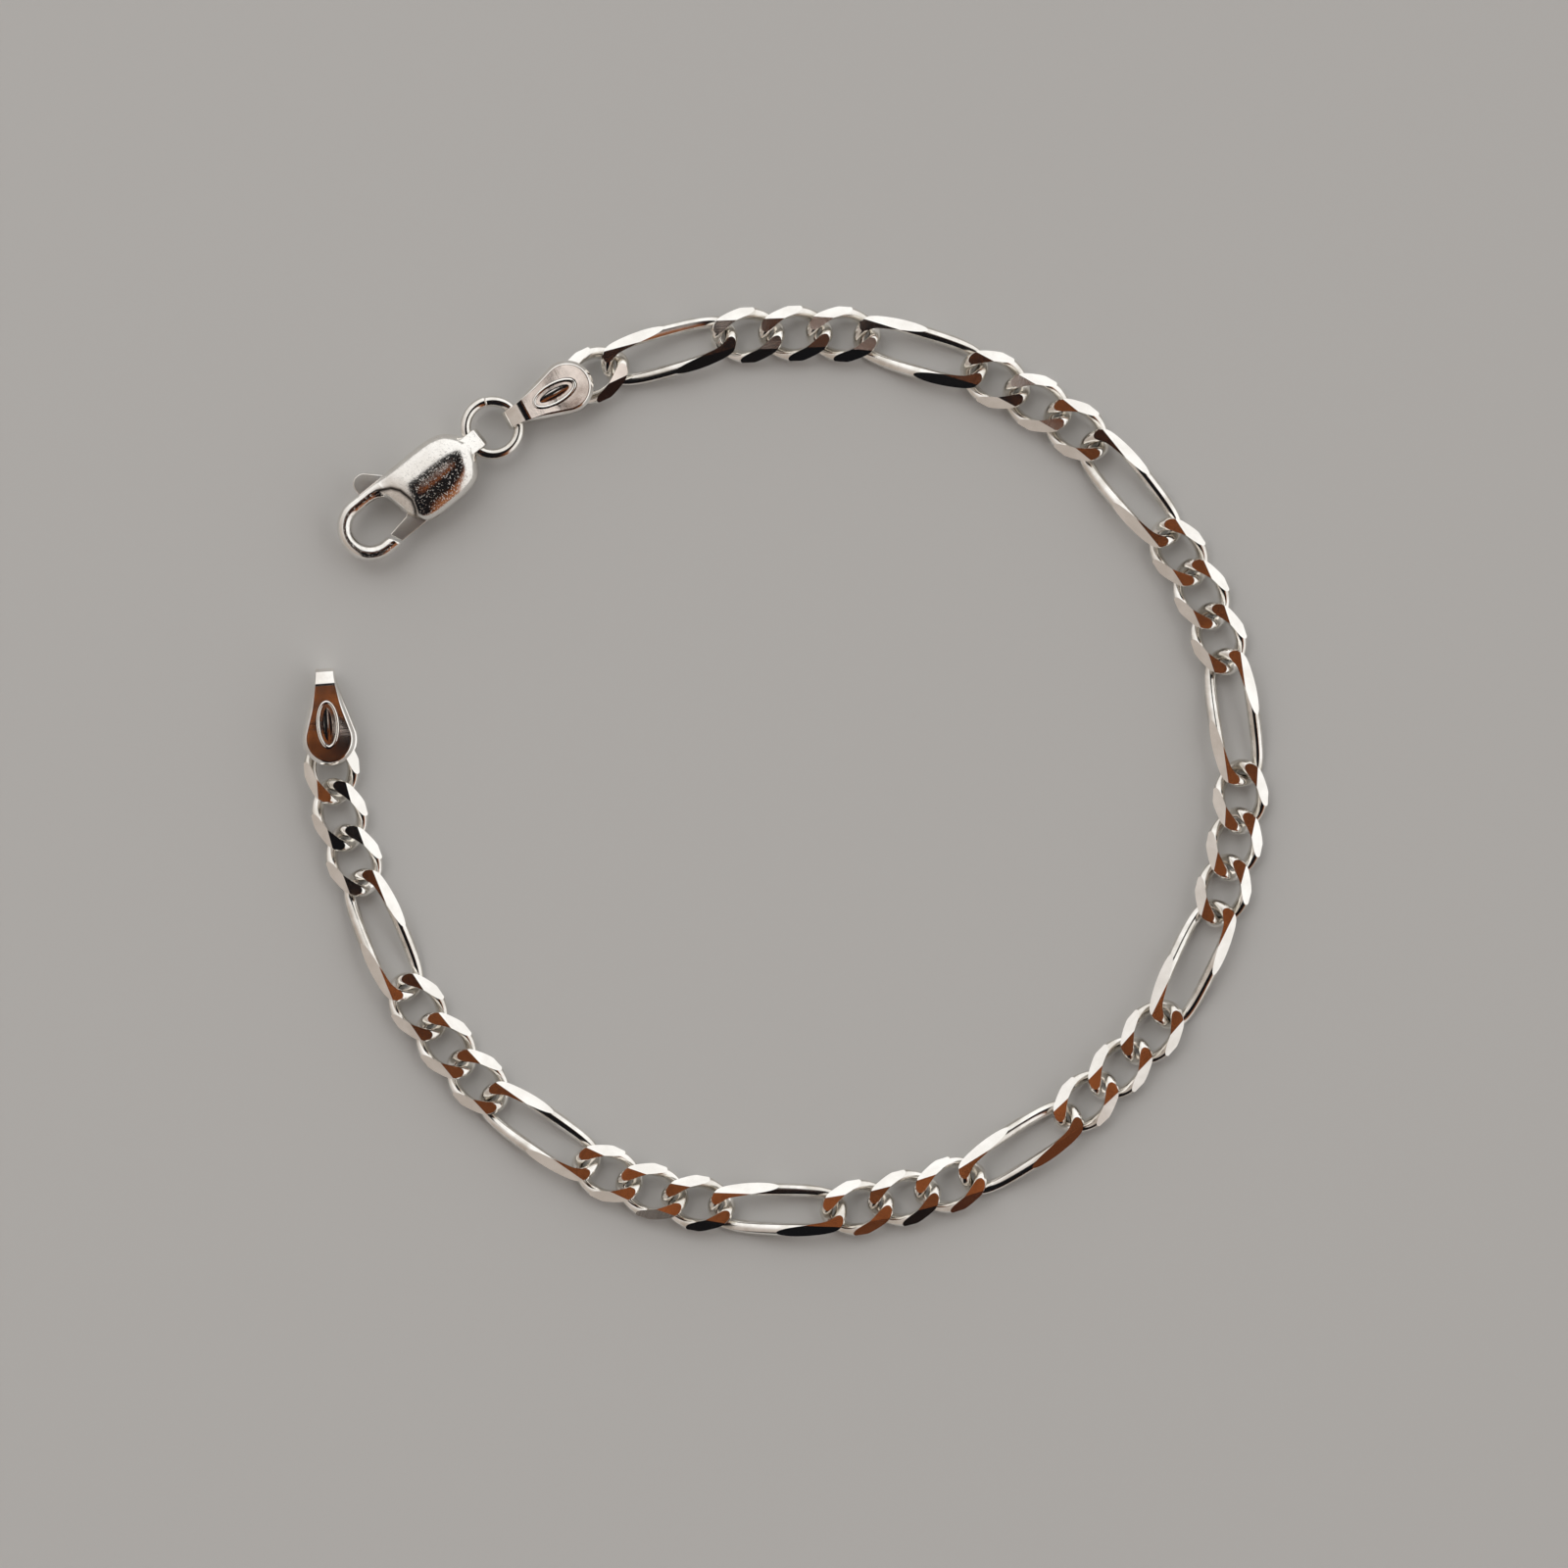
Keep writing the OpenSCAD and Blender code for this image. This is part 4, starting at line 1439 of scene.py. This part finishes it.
@dataclass(frozen=True)
class Layout:
    """How the tags, the ring and the clasp follow from the ends of the laid chain."""

    chain: Chain = Chain()
    start_tag: Tag = Tag(neck_l=0.3, fold_r=2.4, dome_h=0.009)
    end_tag: Tag = Tag()
    ring: JumpRing = JumpRing()
    clasp: Clasp = Clasp()
    tag_cover: float = 0.35
    tag_heading: float = 29.0
    ring_heading: float = 27.0
    clasp_heading: float = 38.5

    def seat_radius(self, width: float) -> float:
        """Distance from the ring's middle to that of an eyelet of a width, on the ring's plane."""
        big = (self.ring.ring_d - self.ring.wire_d) / 2
        return big - (big - math.sqrt(big**2 - width**2 / 4)) / 2

    def build(self) -> None:
        """Builds the chain, both tags, the ring and the clasp, each in its place."""
        joints = self.chain.joints()
        self.chain.build()
        start = along_heading(joints[0], self.tag_heading, -self.tag_cover)
        back = axes_turned(0, 0, self.tag_heading + 180)
        self.start_tag.build("start_leaf", "start_tag", Seat(start, back))
        last = self.chain.headings[-1]
        end = along_heading(joints[-1], last, self.tag_cover)
        self.end_tag.build("end_leaf", "end_tag", Seat(end, axes_turned(0, 0, last)))
        climb = self.clasp.body_t / 2 - self.chain.tag_z
        tilt = math.degrees(math.asin(climb / (self.ring.ring_d - self.ring.wire_d)))
        lift, level = np.array([0, 0, climb / 2]), math.cos(math.radians(tilt))
        bore = along_heading(start, self.tag_heading, -self.start_tag.reach)
        held = self.seat_radius(self.start_tag.strap_w) * level
        ring_at = along_heading(bore, self.ring_heading, -held) + lift
        facing = (self.ring_heading + self.clasp_heading) / 2
        self.ring.build(Seat(ring_at, axes_turned(0, tilt, facing)))
        held = self.seat_radius(self.clasp.eyelet_w) * level
        clasp_bore = along_heading(ring_at, self.clasp_heading, -held) + lift
        origin = along_heading(clasp_bore, self.clasp_heading, -self.clasp.eyelet_x)
        self.clasp.build(Seat(origin, axes_turned(0, 0, self.clasp_heading)))


# The studio


@dataclass(frozen=True)
class Studio:
    """A pale table in a white tent, with a dark plank overhead that the cut faces mirror.

    The plank runs from a little north of overhead down to the horizon in the south. Its edges are
    planes through the middle of the sky, each given by a direction and how far out it lies.
    """

    table: str = "#CFCECC"
    table_m: float = 3.0
    table_z: float = -0.00002
    table_rough: float = 0.9
    lamp_watts: float = 0.8
    lamp_m: float = 0.5
    lamp_at: tuple[float, float, float] = (-0.35, 0.45, 0.6)
    view_mm: float = 110.0
    lens: float = 180.0
    look_at: tuple[float, float] = (-0.14, -0.85)
    edges: tuple[tuple[tuple[float, float, float], float], ...] = (
        ((0.976, 0.217, 0.0), 0.475), ((-1.0, 0.0, 0.0), 0.34), ((-0.5, 0.866, 0.0), 0.29),
    )
    edge_soft: float = 0.03
    spots: tuple[tuple[tuple[float, float, float], float, str], ...] = (
        ((-0.048, 0.028, 0.998), 0.066, "#161617"),
        ((-0.069, 0.010, 0.997), 0.021, "#96572F"),
        ((-0.050, 0.044, 0.998), 0.034, "#161617"),
        ((-0.016, 0.040, 0.999), 0.014, "#A4663F"),
        ((-0.022, 0.058, 0.998), 0.029, "#EFE3DC"),
        ((-0.042, -0.010, 0.999), 0.020, "#151616"),
    )
    spot_core: float = 0.8
    # Heights in the sky between which the plank's foot and its stretch overhead begin
    foot_z: tuple[float, float] = (0.25, 0.10)
    overhead_z: tuple[float, float] = (0.993, 0.995)
    # The plank's shade: how far the foot moves it towards brown and how much less it then goes
    # with x, and what the grain adds
    foot_shift: float = 0.42
    foot_share: float = 0.25
    grain_scale: float = 7.0
    grain_weight: float = 0.5
    patch_scale: float = 80.0
    south_weight: float = -1.0
    # The tent's shade: what it gains towards its bright side, what its folds add, and where it starts
    bright_side: tuple[float, float, float] = (0.6, 0.8, 0.0)
    side_weight: float = 0.5
    fold_scale: float = 2.5
    fold_weight: float = 0.16
    tent_start: float = 0.42
    # Colours from the plank's middle to its east edge and foot
    plank_low: tuple[tuple[float, str], ...] = (
        (0.30, "#141416"), (0.64, "#171515"), (0.69, "#3A1E17"), (0.75, "#7A4526"), (0.95, "#A8714A"),
    )
    # Colours of the patches right overhead
    plank_over: tuple[tuple[float, str], ...] = (
        (0.45, "#17181A"), (0.46, "#9C5A30"), (0.49, "#8A4E2A"), (0.50, "#1C1B1B"), (0.53, "#1D1A1A"),
        (0.54, "#9C5A30"), (0.58, "#8A4E2A"), (0.59, "#1D1A1A"), (0.62, "#3A1E17"), (0.63, "#985630"),
    )
    # Colours of the tent from the south-west to the north-east
    tent: tuple[tuple[float | str, ...], ...] = (
        (0.05, "#B4AAA2"), (0.22, "#BFB5AD"), (0.38, "#DAD4CF"), (0.52, "#F6F3F0"), (0.70, "#FFFEFC", 1.06),
    )

    def floor(self) -> None:
        """The table top: one wide plain sheet just under the bracelet."""
        mesh = bpy.data.meshes.new("table_top")
        edge = self.table_m / 2
        corners = [(-edge, -edge), (edge, -edge), (edge, edge), (-edge, edge)]
        mesh.from_pydata([(x, y, self.table_z) for x, y in corners], [], [(0, 1, 2, 3)])
        top = bpy.data.objects.new("table_top", mesh)
        bpy.context.scene.collection.objects.link(top)
        paint = bpy.data.materials.new("painted_board_matt")
        paint.use_nodes = True
        tree = paint.node_tree
        shader = tree.nodes["Principled BSDF"]
        shader.inputs["Base Color"].default_value = linear(self.table)
        shader.inputs["Roughness"].default_value = self.table_rough
        mesh.materials.append(paint)

    def lamp(self) -> None:
        """Broad lamp high at the upper left. It lights the table and is left out of the mirrors."""
        data = bpy.data.lights.new("softbox", "AREA")
        data.energy = self.lamp_watts
        data.size = self.lamp_m
        lamp = bpy.data.objects.new("softbox", data)
        bpy.context.scene.collection.objects.link(lamp)
        lamp.location = self.lamp_at
        lamp.rotation_euler = (-Vector(self.lamp_at)).to_track_quat("-Z", "Y").to_euler()
        lamp.visible_glossy = False

    def plank_share(self, tree: bpy.types.NodeTree, way: bpy.types.NodeSocket) -> bpy.types.NodeSocket:
        """How far a direction lies on the plank, from 0 off it to 1 on it.

        It is the product of one soft step an edge, taken across the direction's reach past the edge.

        Args:
            tree: Tree of the world.
            way: Direction of the sky.

        Returns:
            The socket that carries the share.
        """
        share = 1.0
        for across, reach in self.edges:
            past = add_node(tree, "VectorMath", {0: way, 1: across}, out="Value", operation="DOT_PRODUCT")
            span = {"From Min": reach + self.edge_soft, "From Max": reach - self.edge_soft}
            inside = add_node(tree, "MapRange", {"Value": past, **span}, interpolation_type="SMOOTHSTEP")
            share = add_node(tree, "Math", {0: inside, 1: share}, operation="MULTIPLY")
        return share

    def plank_colour(self, tree: bpy.types.NodeTree, way: bpy.types.NodeSocket) -> bpy.types.NodeSocket:
        """Colour of the plank: black in the middle, maroon and then brown to the east and low down.

        Right overhead, where the level faces look, it has brown and black patches, with more brown
        to the south, and a few round spots of their own.

        Args:
            tree: Tree of the world.
            way: Direction of the sky.

        Returns:
            The socket that carries the colour.
        """
        x, y, z = add_node(tree, "SeparateXYZ", {0: way}).node.outputs
        grain = add_node(tree, "TexNoise", {"Vector": way, "Scale": self.grain_scale, "Detail": 2.0})
        near_foot = {"Value": z, "From Min": self.foot_z[0], "From Max": self.foot_z[1]}
        foot = add_node(tree, "MapRange", {**near_foot, "To Max": self.foot_shift})
        spread = add_node(tree, "MapRange", {**near_foot, "To Min": 1.0, "To Max": self.foot_share})
        lean = add_node(tree, "Math", {0: x, 1: spread, 2: foot}, operation="MULTIPLY_ADD")
        weighed = {0: grain, 1: self.grain_weight, 2: lean}
        drift = add_node(tree, "Math", weighed, operation="MULTIPLY_ADD")
        low = add_node(tree, "ValToRGB", {0: drift}, stops=self.plank_low)
        patches = add_node(tree, "TexNoise", {"Vector": way, "Scale": self.patch_scale, "Detail": 1.0})
        weighed = {0: y, 1: self.south_weight, 2: patches}
        south = add_node(tree, "Math", weighed, operation="MULTIPLY_ADD")
        over = add_node(tree, "ValToRGB", {0: south}, stops=self.plank_over)
        begins, whole = self.overhead_z
        height = add_node(tree, "MapRange", {"Value": z, "From Min": begins, "From Max": whole})
        both = {"Factor": height, "A": low, "B": over}
        colour = add_node(tree, "Mix", both, out="Result", data_type="RGBA")
        for middle, reach, paint in self.spots:
            away = add_node(tree, "VectorMath", {0: way, 1: middle}, out="Value", operation="DISTANCE")
            rim = {"Value": away, "From Min": reach, "From Max": reach * self.spot_core}
            inside = add_node(tree, "MapRange", rim)
            both = {"Factor": inside, "A": colour, "B": linear(paint)}
            colour = add_node(tree, "Mix", both, out="Result", data_type="RGBA")
        return colour

    def tent_colour(self, tree: bpy.types.NodeTree, way: bpy.types.NodeSocket) -> bpy.types.NodeSocket:
        """Colour of the tent: beige in the west and south-west, white to the north and east.

        Args:
            tree: Tree of the world.
            way: Direction of the sky.

        Returns:
            The socket that carries the colour.
        """
        facing = {0: way, 1: self.bright_side}
        lean = add_node(tree, "VectorMath", facing, out="Value", operation="DOT_PRODUCT")
        folds = add_node(tree, "TexNoise", {"Vector": way, "Scale": self.fold_scale, "Detail": 1.0})
        weighed = {0: folds, 1: self.fold_weight, 2: self.tent_start}
        soft = add_node(tree, "Math", weighed, operation="MULTIPLY_ADD")
        side = add_node(tree, "Math", {0: lean, 1: self.side_weight, 2: soft}, operation="MULTIPLY_ADD")
        return add_node(tree, "ValToRGB", {0: side}, stops=self.tent)

    def light(self) -> None:
        """Soft light from the white tent on all sides, with the plank across it."""
        world = bpy.data.worlds.new("tent")
        bpy.context.scene.world = world
        world.use_nodes = True
        tree = world.node_tree
        way = add_node(tree, "TexCoord", out="Generated")
        both = {"A": self.tent_colour(tree, way), "B": self.plank_colour(tree, way)}
        both["Factor"] = self.plank_share(tree, way)
        sky = add_node(tree, "Mix", both, out="Result", data_type="RGBA")
        tree.links.new(sky, tree.nodes["Background"].inputs["Color"])
        bpy.context.scene.view_settings.view_transform = "Standard"

    def camera(self) -> None:
        """Camera straight above the bracelet, far off with a long lens, as in the photograph."""
        data = bpy.data.cameras.new("overhead")
        data.lens = self.lens
        camera = bpy.data.objects.new("overhead", data)
        bpy.context.scene.collection.objects.link(camera)
        away = self.view_mm * self.lens / data.sensor_width
        camera.location = Vector((*self.look_at, away)) * MM
        data.clip_start, data.clip_end = 0.01, 10.0
        bpy.context.scene.camera = camera

    def build(self) -> None:
        """Sets up the floor, the light and the camera."""
        self.floor()
        self.light()
        self.lamp()
        self.camera()
        LOG.info("studio: table, tent and camera set")


def main() -> None:
    """Builds the studio and every piece of the bracelet."""
    logging.basicConfig(level=logging.INFO, format="%(name)s %(message)s")
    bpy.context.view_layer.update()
    Studio().build()
    Layout().build()


if __name__ == "__main__":
    main()
